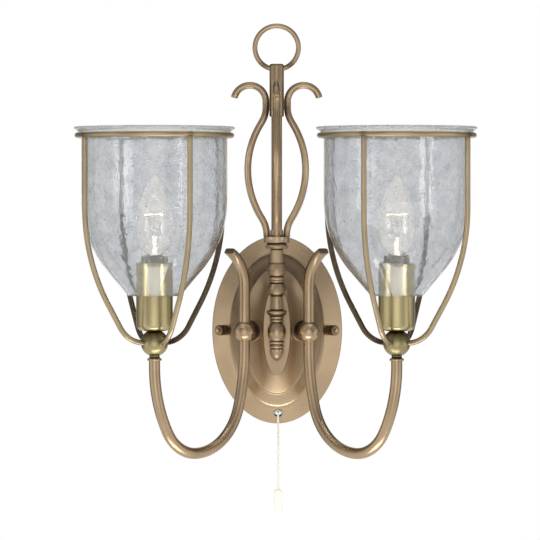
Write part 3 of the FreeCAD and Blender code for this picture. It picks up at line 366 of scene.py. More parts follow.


# --- Backplate ---
# Oval brass pressing in steps, brushed upright and antiqued: a dark wash is left in the
# coves and rubbed off the raised edges, and clear lacquer seals it. Painted shade makes the
# coves darker towards the top and lies lightly over the crown.

def antique_brass(add, body_hex, dark_hex, worn_hex):
    """Brushed yellow brass under brown patina and satin lacquer.

    The wash gathers where the piece's own patina_and_shade attribute is high, which holds real
    patina in hollows and joints and, in some places, painted shade, and in faint 25 mm clouds, and
    wears through in upright brush streaks about 1.6 mm wide and 13 mm long, drawn wider than real
    so that they show.
    """
    where = add("TexCoord").outputs["Object"]
    upright = add("Mapping", {"Vector": where, "Scale": (1.0, 1.0, 0.12)})
    # The stored level is patina, and in places painted shade.
    patina_and_shade_level = add("Attribute", attribute_name="patina_and_shade").outputs["Fac"]
    clouds = add("TexNoise", {"Vector": where, "Scale": 1 / (25 * MM), "Detail": 1.0})
    streaks = add("TexNoise", {"Vector": upright, "Scale": 1 / (1.6 * MM), "Detail": 2.0})
    cloud_level = add("MapRange", {"Value": clouds, "From Min": 0.4, "From Max": 0.7,
            "To Max": 0.12})
    streak_level = add("MapRange", {"Value": streaks, "From Min": 0.45, "From Max": 0.75,
            "To Max": 0.06})
    wash = add("Math", {0: cloud_level, 1: streak_level}, operation="ADD")
    total = add("Math", {0: wash, 1: patina_and_shade_level}, operation="ADD", use_clamp=True)
    bare = add("Mix", {0: streaks, 6: body_hex, 7: worn_hex}, data_type="RGBA")
    tone = add("Mix", {0: total, 6: bare.outputs[2], 7: dark_hex}, data_type="RGBA")
    rough = add("MapRange", {"Value": total, "To Min": 0.26, "To Max": 0.5})
    raised = add("Bump", {"Height": clouds, "Strength": 0.3, "Distance": 0.4 * MM})
    return add("BsdfPrincipled", {"Base Color": tone.outputs[2], "Metallic": 1.0,
            "Roughness": rough, "Normal": raised, "Coat Weight": 0.08, "Coat Roughness": 0.2})


def set_patina_and_shade(piece, amount):
    """Store how much of the dark wash each point of a mesh holds, from 0 to 1: real patina, and in
    some places painted shade.
    """
    layer = piece.data.attributes.new("patina_and_shade", "FLOAT", "POINT")
    layer.data.foreach_set("value", np.asarray(amount, np.float32))


def points_of(piece):
    """A mesh's points as rows of x, y, z."""
    flat = np.zeros(len(piece.data.vertices) * 3, np.float32)
    piece.data.vertices.foreach_get("co", flat)
    return flat.reshape(-1, 3)


plate_brass = new_material("antique_brass", antique_brass, "BCA17F", "39291D", "CDB493")
OVAL_STEPS = [(61.3, 88.5, 0.0), (61.3, 88.5, 1.6), (60.3, 87.5, 2.6), (45.4, 73.8, 14.2),
        (44.0, 72.4, 15.7), (42.8, 71.2, 16.7), (41.2, 69.6, 17.4), (39.3, 67.7, 17.8),
        (31.8, 59.9, 20.0), (30.8, 58.9, 21.6), (13.2, 42.7, 27.8), (12.4, 41.9, 28.2),
        (0.0, 0.0, 28.2)]


def oval_dish(name, steps, wall, columns=256):
    """A pressed oval sheet: a point at turn t of a step is (width * sin t, -depth, height * cos t).

    The inside follows the outside at the wall's thickness, and the two meet at the rim.
    """
    outside = eased(steps, 0.9, 5)
    inside = outside[::-1] - wall
    inside[:, 2] = np.maximum(inside[:, 2], 0.0)
    inside[0] = (0.0, 0.0, outside[-1, 2] - wall)
    shell = np.vstack([outside, inside])
    turn = turns_round(columns)
    shell = np.maximum(shell, 0.0) * MM
    points = np.stack([shell[:, None, 0] * np.sin(turn), -shell[:, None, 2] * np.ones(columns),
            shell[:, None, 1] * np.cos(turn)], axis=-1)
    return smooth_mesh(name, points, close_rows=True, sharp_degrees=50)


def bored(piece, spot, direction, radius, length):
    """The piece with a round hole through it, cut by a cylinder that is then thrown away."""
    cutter = lathe("cutter", [(0, -length / 2), (radius, -length / 2), (radius, length / 2),
            (0, length / 2)], spot, direction, segments=48)
    hole = piece.modifiers.new("hole", "BOOLEAN")
    hole.object = cutter
    hole.operation = "DIFFERENCE"
    bpy.context.view_layer.update()
    cut_piece = piece.evaluated_get(bpy.context.evaluated_depsgraph_get())
    piece.data = bpy.data.meshes.new_from_object(cut_piece)
    piece.data.shade_smooth()
    piece.data.set_sharp_from_angle(angle=math.radians(40))
    piece.modifiers.clear()
    bpy.data.objects.remove(cutter)
    return piece


FLANGE_RISE, FLANGE_FOOT_RUN, FLANGE_SIDE_RUN = 12.9, 15.2, 16.5
FLANGE_HALF_WIDTH, FLANGE_HALF_HEIGHT, FLANGE_EDGE_DEPTH = OVAL_STEPS[2]
PLATE_WALL = 0.9
EYELET_DROP = 78.7
EYELET_HOLE = 3.95
bottom_slope = math.atan2(FLANGE_RISE, FLANGE_FOOT_RUN)
eyelet_out = (0, -math.cos(bottom_slope), -math.sin(bottom_slope))
eyelet_inset = FLANGE_HALF_HEIGHT - EYELET_DROP
eyelet_depth = FLANGE_EDGE_DEPTH + eyelet_inset * FLANGE_RISE / FLANGE_FOOT_RUN
eyelet_spot = (cord_x, -eyelet_depth * MM, -EYELET_DROP * MM)
plate = bored(oval_dish("oval_backplate", OVAL_STEPS, PLATE_WALL), eyelet_spot, eyelet_out,
        EYELET_HOLE, 8.0)
spots = points_of(plate)
depth = -spots[:, 1] / MM
# Painted shade: the cove's wash grows towards the top of the plate.
painted_top_shade = np.clip((spots[:, 2] / MM + 70) / 100, 0, 1)
cove = np.interp(depth, (14.8, 15.9, 17.2, 18.2, 20.2, 21.8, 24.0),
        (0.0, 0.75, 0.6, 0.5, 0.7, 0.3, 0.1))
# The crown's wash of 0.22 is painted shade round the column.
set_patina_and_shade(plate, np.clip(cove * painted_top_shade + np.interp(depth, (27.4, 28.0), (0.0, 0.22)), 0, 0.8))
dress(plate, "sconce", "plate_brass", plate_brass, "backplate")


# --- Wall bracket, terminals and hidden fasteners ---
# A zinc-plated steel strap on the wall with bent ends, and on its tongue a moulded terminal block.
# All of it is hidden by the plate, but shows from behind.

def plated_steel(add):
    """Zinc or nickel plating: cool grey with a faint crystal mottle of 2 mm."""
    where = add("TexCoord").outputs["Object"]
    mottle = add("TexVoronoi", {"Vector": where, "Scale": 1 / (2 * MM)})
    tone = add("Mix", {0: mottle, 6: "B9BCC0", 7: "A2A5A8"}, data_type="RGBA")
    rough = add("MapRange", {"Value": mottle, "To Min": 0.3, "To Max": 0.45})
    return add("BsdfPrincipled", {"Base Color": tone.outputs[2], "Metallic": 1.0,
            "Roughness": rough})


def moulding(add, light_hex, dark_hex, roughness):
    """A thermoset moulding: a fine grain of 0.8 mm under an even, half matt skin."""
    where = add("TexCoord").outputs["Object"]
    grain = add("TexNoise", {"Vector": where, "Scale": 1 / (0.8 * MM), "Detail": 3.0})
    tone = add("Mix", {0: grain, 6: dark_hex, 7: light_hex}, data_type="RGBA")
    raised = add("Bump", {"Height": grain, "Strength": 0.2, "Distance": 0.05 * MM})
    return add("BsdfPrincipled", {"Base Color": tone.outputs[2], "Roughness": roughness, "IOR": 1.5,
            "Normal": raised})


def paint_nodes(material, *names):
    """Give carried-over pieces their finish."""
    for name in names:
        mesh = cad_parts[name].data
        mesh.materials.clear()
        mesh.materials.append(material)


zinc = new_material("zinc_plate", plated_steel)
terminal_moulding = new_material("terminal_moulding", moulding, "D9D8D0", "CBCAC1", 0.45)
switch_moulding = new_material("switch_moulding", moulding, "ECE9DE", "DEDACD", 0.4)
paint_nodes(zinc, "wall_bracket", "terminal_screws", "hollow_nipples", "arm_nuts", "spindle_nuts")
paint_nodes(terminal_moulding, "terminal_block")
paint_nodes(switch_moulding, "switch_housing")
paint_nodes(plate_brass, "earth_screw")
paint_nodes(new_material("flex_sheath", moulding, "C9C0A0", "B8AE8C", 0.5), "arm_flex_left",
        "arm_flex_right")
paint_nodes(switch_cord.data.materials[0], "cord_inner")


# --- Switch plunger and spring ---
# The pull switch's plunger is a black moulding with a tapered nose that the cord hangs from. A coil
# of steel wire under its head pushes it up again, and is pressed shorter as the cord is pulled.

def coil_spring(name, mean_radius, wire_radius, foot, top, centre, turns=6.5, columns=12):
    """A closed tube round a helix, in mm.

    A point is the helix at turn t + wire radius * (cos s * outward + sin s * up).
    """
    share = np.linspace(0, 1, int(turns * 36))
    turn = 2 * np.pi * turns * share
    outward = np.stack([np.cos(turn), np.sin(turn), 0 * turn], axis=1)
    climb = foot + wire_radius + (top - foot - 2 * wire_radius) * share
    up = np.array([0.0, 0.0, 1.0])
    spine = mean_radius * outward + climb[:, None] * up
    round_wire = turns_round(columns)[None, :, None]
    rings = spine[:, None] + wire_radius * (np.cos(round_wire) * outward[:, None]
            + np.sin(round_wire) * up)
    ends = [np.repeat(spine[end][None, None], columns, axis=1) for end in (0, -1)]
    points = np.vstack([ends[0], rings, ends[1]]) * MM + np.array(centre)
    return smooth_mesh(name, points, sharp_degrees=60)


plunger_low, plunger_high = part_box("switch_plunger")
spring_low, spring_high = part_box("switch_spring")
plunger_foot, plunger_top = plunger_low.z / MM, plunger_high.z / MM
spring_foot, spring_top = spring_low.z / MM, spring_high.z / MM
switch_axis = (cord_x, cord_y, 0.0)
plunger_profile = eased([(0, plunger_foot), (1.1, plunger_foot), (1.8, plunger_foot + 2.2),
        (1.8, spring_top), (3.92, spring_top), (3.92, plunger_top), (0, plunger_top)], 0.2)
plunger = lathe("plunger_moulded", plunger_profile, switch_axis, segments=48)
plunger_moulding = new_material("plunger_moulding", moulding, "33312D", "262420", 0.4)
dress(plunger, "switch", "switch_plastic", plunger_moulding, "switch_plunger")
spring_radius = (spring_high.x - spring_low.x) / 2 / MM
spring_wire = 0.36
spring = coil_spring("spring_coil", spring_radius - spring_wire, spring_wire, spring_foot,
        spring_top, switch_axis)
dress(spring, "sconce", "spring_steel", zinc, "switch_spring")
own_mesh(spring)


# --- Side nuts ---
# Two knurled brass nuts, blackened in the knurl, hold the plate to the studs of the wall bracket;
# the studs' bright ends stand out of them. The nuts are painted darker all over, as painted shade.

def knurled(name, radius, length, bore, centre, direction, ridges=26):
    """A nut with a straight knurl: its side waves by 0.22 mm between its chamfered ends.

    A point is the lathe's, with its radius raised by the wave of cos(ridges * t).
    """
    profile = eased([(bore, 0), (radius - 0.7, 0), (radius, 0.7), (radius, length - 0.8),
            (radius - 0.9, length), (bore, length)], 0.2, 3)
    nut = lathe(name, profile, (0, 0, 0), segments=ridges * 8, closed=True)
    spots = points_of(nut)
    turn = np.arctan2(spots[:, 1], spots[:, 0])
    reach = np.hypot(spots[:, 0], spots[:, 1])
    outer = reach > (radius - 0.3) * MM
    knurl_depth = 0.22
    wave = 1 + outer * knurl_depth / radius * (np.cos(ridges * turn) - 1)
    # Painted shade: every point of the nut holds a wash of 0.5; the knurl's valleys go darker
    # still.
    set_patina_and_shade(nut, np.where(outer, 0.5 + 0.4 * (1 - np.cos(ridges * turn)) / 2, 0.5))
    spots[:, :2] *= wave[:, None]
    turned = np.array(Vector((0, 0, 1)).rotation_difference(Vector(direction)).to_matrix())
    nut.data.vertices.foreach_set("co", (spots @ turned.T + np.array(centre)).ravel())
    nut.data.update()
    return nut


NUT_REACH = 49.9
flange_slope = math.atan2(FLANGE_RISE, FLANGE_SIDE_RUN)
nut_depth = FLANGE_EDGE_DEPTH + (FLANGE_HALF_WIDTH - NUT_REACH) * FLANGE_RISE / FLANGE_SIDE_RUN
for side_name, side in (("left", -1), ("right", 1)):
    outward = Vector((side * math.sin(flange_slope), -math.cos(flange_slope), 0))
    seat = Vector((side * NUT_REACH, -nut_depth, 0)) * MM + outward * 0.25 * MM
    nut = knurled("side_nut_" + side_name, 4.9, 8.5, 2.0, seat, outward)
    stud_rows = eased([(0, -1.2), (1.98, -1.2), (1.98, 10.2), (1.5, 10.9), (0, 10.9)], 0.3)
    stud = lathe("side_stud_" + side_name, stud_rows, seat - outward * 0.25 * MM, outward,
            segments=40)
    set_patina_and_shade(stud, np.zeros(len(stud.data.vertices)))
    dress(nut, "sconce", "plate_brass", plate_brass, "thumb_nuts")
    dress(stud, "sconce", "plate_brass", plate_brass)
paint_nodes(plate_brass, "thumb_studs")


# --- Arm roots ---
# Each arm's tube runs through a turned brass ball, which stands on a turned brass boss. A hollow
# nipple holds ball and boss to the plate.

def turned_brass(name, node, profile, centre, finish, direction=(0, 0, 1), segments=96,
        closed=False, wash=0.0, hollow=1.0, upper_shade=0.0):
    """A turned brass piece for a CAD node, whose dark wash gathers where its profile is hollow.

    The wash grows by the hollow's share per mm of depth, and by upper_shade, painted shade, towards
    the top.
    Long runs of the profile are first divided every 0.7 mm, so that the wash can change along them.
    """
    corners = np.array(profile, float)
    steps = np.maximum(1, (np.linalg.norm(np.diff(corners, axis=0), axis=1) / 0.7).astype(int))
    runs = [start + (stop - start) * np.linspace(0, 1, count, endpoint=False)[:, None]
            for start, stop, count in zip(corners[:-1], corners[1:], steps)]
    profile = np.vstack([*runs, corners[-1:]])
    piece = lathe(name, profile, centre, direction, segments, closed)
    spots = points_of(piece)
    axis = np.array(Vector(direction).normalized())
    offset = spots - np.array(centre)
    height = offset @ axis / MM
    reach = np.linalg.norm(offset - (offset @ axis)[:, None] * axis, axis=1) / MM
    window = 1.3
    outline = profile[np.argsort(profile[:, 1])]
    grid = np.linspace(outline[0, 1], outline[-1, 1], 240)
    hull = np.array([profile[np.abs(profile[:, 1] - h) < 0.25, 0].max(initial=0) for h in grid])
    near = np.array([hull[np.abs(grid - h) < window].max() for h in grid])
    depth = np.interp(height, grid, near) - reach
    rise = np.clip((height - grid.mean()) / (grid[-1] - grid.mean()), 0, 1)
    set_patina_and_shade(piece, np.clip(wash + hollow * np.clip(depth, 0, 2) * 0.55 + upper_shade * rise, 0, 0.92))
    dress(piece, "sconce", "plate_brass" if finish is plate_brass else "cage_brass", finish, node)


FACE_RISE, FACE_RUN = 6.2, 17.6
face_slope = math.atan2(FACE_RISE, FACE_RUN)
ROOT_REACH, ROOT_DEPTH, ROOT_BALL_RADIUS = 30, 44, 10.0
BOSS_START = 8.5
BOSS_LENGTH = 12.3
boss_end = BOSS_START + BOSS_LENGTH
boss_profile = [(5.0, BOSS_START), (6.0, BOSS_START), (6.0, BOSS_START + 4.5),
        (6.35, BOSS_START + 6.5), (7.2, BOSS_START + 8.1), (8.3, BOSS_START + 8.9),
        (10.3, boss_end - 2.4), (10.3, boss_end - 0.6), (9.7, boss_end), (5.0, boss_end)]
for side_name, side in (("left", -1), ("right", 1)):
    root = (side * ROOT_REACH * MM, -ROOT_DEPTH * MM, 0.0)
    toward_plate = (-side * math.sin(face_slope), math.cos(face_slope), 0)
    # The boss carries a wash of 0.3, painted shade between the ball and the plate.
    turned_brass("arm_boss_turned_" + side_name, "arm_boss_" + side_name,
            eased(boss_profile, 0.5, 4), root, plate_brass, toward_plate, wash=0.3, closed=True)
    arc = np.linspace(-math.pi / 2, math.pi / 2, 49)
    ball = ROOT_BALL_RADIUS * np.stack([np.cos(arc), np.sin(arc)], axis=1)
    ball = ball[ball[:, 1] < 8.4]
    turned_brass("root_ball_turned_" + side_name, "root_ball_" + side_name, ball, root, plate_brass,
            toward_plate, wash=0.04, hollow=0.0)


# --- Arms ---
# Brass tube of 10 mm, bent cold in one plane through its root ball: down, forward and outward at 45
# degrees, and up to the lamp. Above the ball the tail curls outward and is pressed flat at its end.

def route(start, heading, moves, spacing=1.5):
    """Points of a bent bar in its own plane, across and up in mm, and the heading at each.

    A move is (length, 0) for a straight run or (radius, turn) for an arc that turns the heading by
    that many degrees, clockwise above zero; a heading of 0 points up and 90 points across.
    """
    spot = np.array(start, float)
    spots = [spot]
    headings = [math.radians(heading)]
    for size, turn in moves:
        angle = headings[-1]
        swing = math.radians(turn)
        count = max(2, int(abs(size * swing if turn else size) / spacing) + 1)
        share = np.linspace(0, 1, count)[1:]
        if turn:
            hand = math.copysign(size, swing)
            turned = angle + swing * share
            run = np.stack([spot[0] + hand * (math.cos(angle) - np.cos(turned)),
                    spot[1] + hand * (np.sin(turned) - math.sin(angle))], axis=1)
        else:
            turned = np.full(len(share), angle)
            run = spot + share[:, None] * size * np.array([math.sin(angle), math.cos(angle)])
        spots.extend(run)
        headings.extend(turned)
        spot = run[-1]
    return np.array(spots), np.array(headings)


def bar(name, spots, headings, centre, compass, wide, thick=None, columns=40, dome=0.0, square=0.0):
    """A bar of oval section carried along a flat route that stands on a compass heading.

    Its section lies square to the heading: wide mm across the route's plane and thick mm in it, and
    where square nears 1 its sine and cosine are raised to 0.45, which squares it up. The ends are
    closed by a point on the line, pushed out by the dome.
    """
    thick = wide if thick is None else thick
    wide = np.broadcast_to(wide, len(spots))
    thick = np.broadcast_to(thick, len(spots))
    across = np.array([math.cos(compass), math.sin(compass), 0.0])
    level = np.array([-math.sin(compass), math.cos(compass), 0.0])
    up = np.array([0.0, 0.0, 1.0])
    line = spots[:, 0, None] * across + spots[:, 1, None] * up
    outward = np.cos(headings)[:, None] * across - np.sin(headings)[:, None] * up
    ahead = np.sin(headings)[:, None] * across + np.cos(headings)[:, None] * up
    turn = turns_round(columns)
    power = (1 - 0.55 * np.broadcast_to(square, len(spots)))[:, None]
    sine, cosine = [np.sign(wave) * np.abs(wave) ** power for wave in (np.sin(turn), np.cos(turn))]
    wide_part = wide[:, None, None] * sine[..., None] * level
    thick_part = thick[:, None, None] * cosine[..., None] * outward[:, None]
    rings = line[:, None] + wide_part + thick_part
    caps = []
    for end, sign in ((0, -1), (-1, 1)):
        tip = ahead[end] * sign * dome
        caps.append([line[end] + (rings[end] - line[end]) * share + tip * push
                for share, push in ((0.97, 0.35), (0.8, 0.75), (0.0, 1.0))])
    points = np.vstack([caps[0][::-1], rings, caps[1]]) * MM + np.array(centre)
    return smooth_mesh(name, points, sharp_degrees=50)


ARM_RADIUS = 5.15
ARM_REACH = 113.3
NECK_LEVEL = -24.2
TAIL_TURN, TAIL_PRESS_FROM = 61.5, 34
arm_start = ((15.3, 0), (200.0, -16), (56.0, -74), (41.0, -60))
rise_end = route((0, 0), 180, arm_start)[0][-1]
last_bend = (ARM_REACH - rise_end[0]) / (1 - math.sin(math.radians(60)))
upright_foot = rise_end[1] + last_bend * math.cos(math.radians(60))
arm_bends = (*arm_start, (last_bend, -30), (NECK_LEVEL - upright_foot, 0))
for side_name, compass in (("left", math.radians(-135)), ("right", math.radians(-45))):
    side = -1 if side_name == "left" else 1
    root = (side * ROOT_REACH * MM, -ROOT_DEPTH * MM, 0)
    lower_spots, lower_headings = route((0, 0), 180, arm_bends)
    arm = bar("arm_tube_" + side_name, lower_spots, lower_headings, root, compass, ARM_RADIUS)
    tail_spots, tail_headings = route((0, 0), 0, ((42.5, 0), (37, TAIL_TURN)), spacing=1.0)
    press = np.clip((np.degrees(tail_headings) - TAIL_PRESS_FROM) / (TAIL_TURN - TAIL_PRESS_FROM),
            0, 1)
    tail = bar("arm_tail_" + side_name, tail_spots, tail_headings, root, compass,
            ARM_RADIUS + press * 0.95, ARM_RADIUS - press * 2.35, square=press)
    for piece in (arm, tail):
        # Darker towards the top of the tail.
        level = points_of(piece)[:, 2] / MM
        set_patina_and_shade(piece, 0.05 + np.interp(level, (60, 73, 76), (0.0, 0.25, 0.45)))
        dress(piece, "sconce", "plate_brass", plate_brass, "arm_" + side_name)


# --- Lamp necks and balls ---
# On the end of each arm a small flanged neck and a ball, both turned from brass. The wires of the
# cage are brazed into the ball.

def axis_of(node):
    """The point at level 0 on the upright axis through the middle of a CAD node."""
    low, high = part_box(node)
    return np.array(((low.x + high.x) / 2, (low.y + high.y) / 2, 0.0))


cage_brass = new_material("cage_brass", antique_brass, "C2B282", "332A1B", "D2C495")
LAMP_BALL_LEVEL = -7.8
LAMP_BALL_RADIUS, BALL_FOOT, BALL_TOP = 12.5, 11.5, 10.9
lamp_axes = {side_name: axis_of("cage_ring_" + side_name) for side_name in ("left", "right")}
for side_name, axis_spot in lamp_axes.items():
    neck = eased([(4.15, NECK_LEVEL), (6.1, NECK_LEVEL), (6.6, -23.6), (6.6, -22.6), (6.1, -22.0),
            (4.8, -21.6), (4.7, -19.3), (2.6, -19.3)], 0.3)
    turned_brass("lamp_neck_turned_" + side_name, "lamp_neck_" + side_name, neck, axis_spot,
            cage_brass, wash=0.15)
    arc = np.linspace(-math.asin(BALL_FOOT / LAMP_BALL_RADIUS),
            math.asin(BALL_TOP / LAMP_BALL_RADIUS), 49)
    side_rows = zip(LAMP_BALL_RADIUS * np.cos(arc),
            LAMP_BALL_LEVEL + LAMP_BALL_RADIUS * np.sin(arc))
    ball = [(4.8, LAMP_BALL_LEVEL - BALL_FOOT), *side_rows, (5.0, LAMP_BALL_LEVEL + BALL_TOP)]
    # Painted shade: the ball's upper half is darkened, under the cup.
    turned_brass("lamp_ball_turned_" + side_name, "lamp_ball_" + side_name, ball, axis_spot,
            cage_brass, wash=0.25, hollow=0.0, upper_shade=0.65)


# --- Cages ---
# Four 5 mm brass wires rise from each ball in two bends and are brazed under a ring of the same
# wire, on which the glass hangs by its lip.

def ring_wire(name, mean_radius, wire_radius, centre, plane=(0, 1), turns=192, columns=28):
    """A closed ring: the wire's round section carried round a circle.

    A point is centre + (R + r cos s) * (cos t, sin t) in the plane of two axes + r sin s across it.
    """
    first, second = plane
    third = 3 - first - second
    t = turns_round(turns)[:, None]
    s = turns_round(columns)[None, :]
    points = np.zeros((turns, columns, 3))
    reach = mean_radius + wire_radius * np.cos(s)
    points[..., first] = reach * np.cos(t)
    points[..., second] = reach * np.sin(t)
    points[..., third] = wire_radius * np.sin(s) + 0 * t
    points = points * MM + np.array(centre)
    return smooth_mesh(name, points, close_rows=True, sharp_degrees=60)


wire_brass = new_material("wire_brass", antique_brass, "BFAA84", "382C1F", "CFBC98")
WIRE_TURNS = {"left": -60.5, "right": -26.0}
RING_LEVEL, RING_RADIUS, WIRE_RADIUS = 180.8, 70.1, 2.5
FOOT_BEND, LONG_BEND = 28.0, 175.0
lean_sine, lean_cosine = math.sin(math.radians(30)), math.cos(math.radians(30))
wire_first = 10.3 + FOOT_BEND * lean_cosine
wire_last = RING_RADIUS - LONG_BEND * (1 - lean_cosine)
straight = (wire_last - wire_first) / lean_sine
upright_from = FOOT_BEND * (1 - lean_sine) + straight * lean_cosine + LONG_BEND * lean_sine
upright = RING_LEVEL - LAMP_BALL_LEVEL - upright_from - 2.2
for side_name, axis_spot in lamp_axes.items():
    ring_middle = axis_spot + (0, 0, RING_LEVEL * MM)
    ring = ring_wire("cage_ring_wire_" + side_name, RING_RADIUS, WIRE_RADIUS, ring_middle)
    ring_spots = points_of(ring)
    ring_angle = np.degrees(np.arctan2(ring_spots[:, 0] - axis_spot[0],
            -(ring_spots[:, 1] - axis_spot[1])))
    from_joint = np.abs((ring_angle - WIRE_TURNS[side_name] + 45) % 90 - 45)
    set_patina_and_shade(ring, 0.12 + 0.45 * np.exp(-(from_joint / 2.4) ** 2))
    dress(ring, "sconce", "cage_brass", wire_brass, "cage_ring_" + side_name)
    for number in range(4):
        angle = math.radians(WIRE_TURNS[side_name] + 90 * number)
        compass = math.atan2(-math.cos(angle), math.sin(angle))
        spots, headings = route((9.6, LAMP_BALL_LEVEL), 90,
                ((0.7, 0), (FOOT_BEND, -60), (straight, 0), (LONG_BEND, -30), (upright, 0)))
        wire = bar("cage_wire_%s_%d" % (side_name, number + 1), spots, headings, axis_spot, compass,
                WIRE_RADIUS, columns=28)
        wire_height = points_of(wire)[:, 2] / MM
        # The two rear wires of each cage are painted much darker, as painted shade behind the
        # glass.
        wash_and_rear_shade = 0.12 if number < 2 else 0.75
        set_patina_and_shade(wire, wash_and_rear_shade + 0.3 * np.exp(-((RING_LEVEL - 2 - wire_height) / 3.0) ** 2)
                + 0.2 * np.exp(-((wire_height - LAMP_BALL_LEVEL) / 2.0) ** 2))
        dress(wire, "sconce", "cage_brass", wire_brass, "cage_wires_" + side_name)


# --- Cups and lampholders ---
# A spun brass cup stands on each ball round a lampholder with a steel screw shell, whose collar
# shows just above the cup.

CUP_FLAT, CUP_BEND_LEVEL = 10.75, 9.1


def cup_bend(radius, *turn):
    """The round of the cup's foot at a radius in mm, between two turns from straight down."""
    return [(CUP_FLAT + radius * math.sin(a), CUP_BEND_LEVEL - radius * math.cos(a))
            for a in np.linspace(*turn, 10)]


cup_profile = [(5.0, 3.1), (CUP_FLAT, 3.1), *cup_bend(6.0, 0.1, math.pi / 2), (16.75, 64.7),
        (16.5, 65.2), (16.1, 65.2), (15.85, 64.8), (15.85, 9.1), *cup_bend(5.1, math.pi / 2, 0.1),
        (CUP_FLAT, 4.0), (5.0, 4.0)]
holder_profile = eased([(5.0, 4.0), (9.0, 4.0), (9.0, 36), (11.9, 38), (11.9, 71.1), (11.1, 71.9),
        (7.4, 71.9), (7.4, 46), (1.5, 46), (1.5, 42), (6, 42), (6, 13), (5.0, 13)], 0.5)
holder_moulding = new_material("lampholder_moulding", moulding, "98927F", "857F6D", 0.35)
nickel = new_material("nickel_shell", plated_steel)
for side_name, axis_spot in lamp_axes.items():
    turned_brass("spun_cup_" + side_name, "cup_" + side_name, cup_profile, axis_spot, cage_brass,
            closed=True, wash=0.06, hollow=0.0)
    holder = lathe("lampholder_body_" + side_name, holder_profile, axis_spot, closed=True,
            segments=72)
    dress(holder, "sconce", "holder_plastic", holder_moulding, "lampholder_" + side_name)
paint_nodes(nickel, "lampholder_shells", "lampholder_contacts")


# --- Bulbs ---
# Clear candle bulbs with a 14 mm screw cap: a thin blown envelope, a glass stem with three lead
# wires, and a coiled tungsten filament that glows.

def clear_glass(add, tint_hex, roughness, glow):
    """Plain soda glass with a trace of waviness 8 mm long, and a painted glow of its own that
    stands for the filament's light in the glass.
    """
    where = add("TexCoord").outputs["Object"]
    wave = add("TexNoise", {"Vector": where, "Scale": 1 / (8 * MM), "Detail": 1.0})
    raised = add("Bump", {"Height": wave, "Strength": 0.2, "Distance": 0.2 * MM})
    return add("BsdfPrincipled", {"Base Color": tint_hex, "Roughness": roughness, "IOR": 1.45,
            "Transmission Weight": 1.0, "Normal": raised, "Emission Color": "FFF0E4",
            "Emission Strength": glow})


def glowing_tungsten(add):
    """Tungsten at about 2700 K, its glow uneven along the coil in patches of 3 mm."""
    where = add("TexCoord").outputs["Object"]
    flicker = add("TexNoise", {"Vector": where, "Scale": 1 / (3 * MM)})
    heat = add("MapRange", {"Value": flicker, "To Min": 4.0, "To Max": 9.0})
    return add("BsdfPrincipled", {"Base Color": "FFE0B0", "Roughness": 0.5,
            "Emission Color": "FFD9A0", "Emission Strength": heat})


def smooth_through(corners, count=60):
    """A smooth profile through corners by their distance along it, as a centripetal cubic does."""
    corners = np.array(corners, float)
    gap = np.sqrt(np.linalg.norm(np.diff(corners, axis=0), axis=1))
    knots = np.concatenate([[0], np.cumsum(gap)])
    slopes = np.gradient(corners, knots, axis=0)
    t = np.linspace(0, knots[-1], count)
    i = np.clip(np.searchsorted(knots, t, side="right") - 1, 0, len(knots) - 2)
    span = (knots[i + 1] - knots[i])[:, None]
    u = ((t - knots[i]) / span[:, 0])[:, None]
    return ((2 * u ** 3 - 3 * u ** 2 + 1) * corners[i]
            + (u ** 3 - 2 * u ** 2 + u) * span * slopes[i]
            + (-2 * u ** 3 + 3 * u ** 2) * corners[i + 1]
            + (u ** 3 - u ** 2) * span * slopes[i + 1])


envelope_outside = smooth_through([(6.45, 66), (6.5, 71.5), (7.6, 73.2), (12.2, 77.6), (15.6, 84.5),
        (17.3, 93), (17.4, 100), (15.9, 110.5), (12.6, 121.5), (9.0, 131), (5.5, 138.8),
        (3.1, 143.3), (1.4, 145.7), (0.0, 146.1)], 90)
stem_outside = smooth_through([(0, 66.6), (4.8, 66.8), (4.6, 68.5), (2.7, 74), (2.0, 86), (2.4, 89),
        (0, 90)], 40)
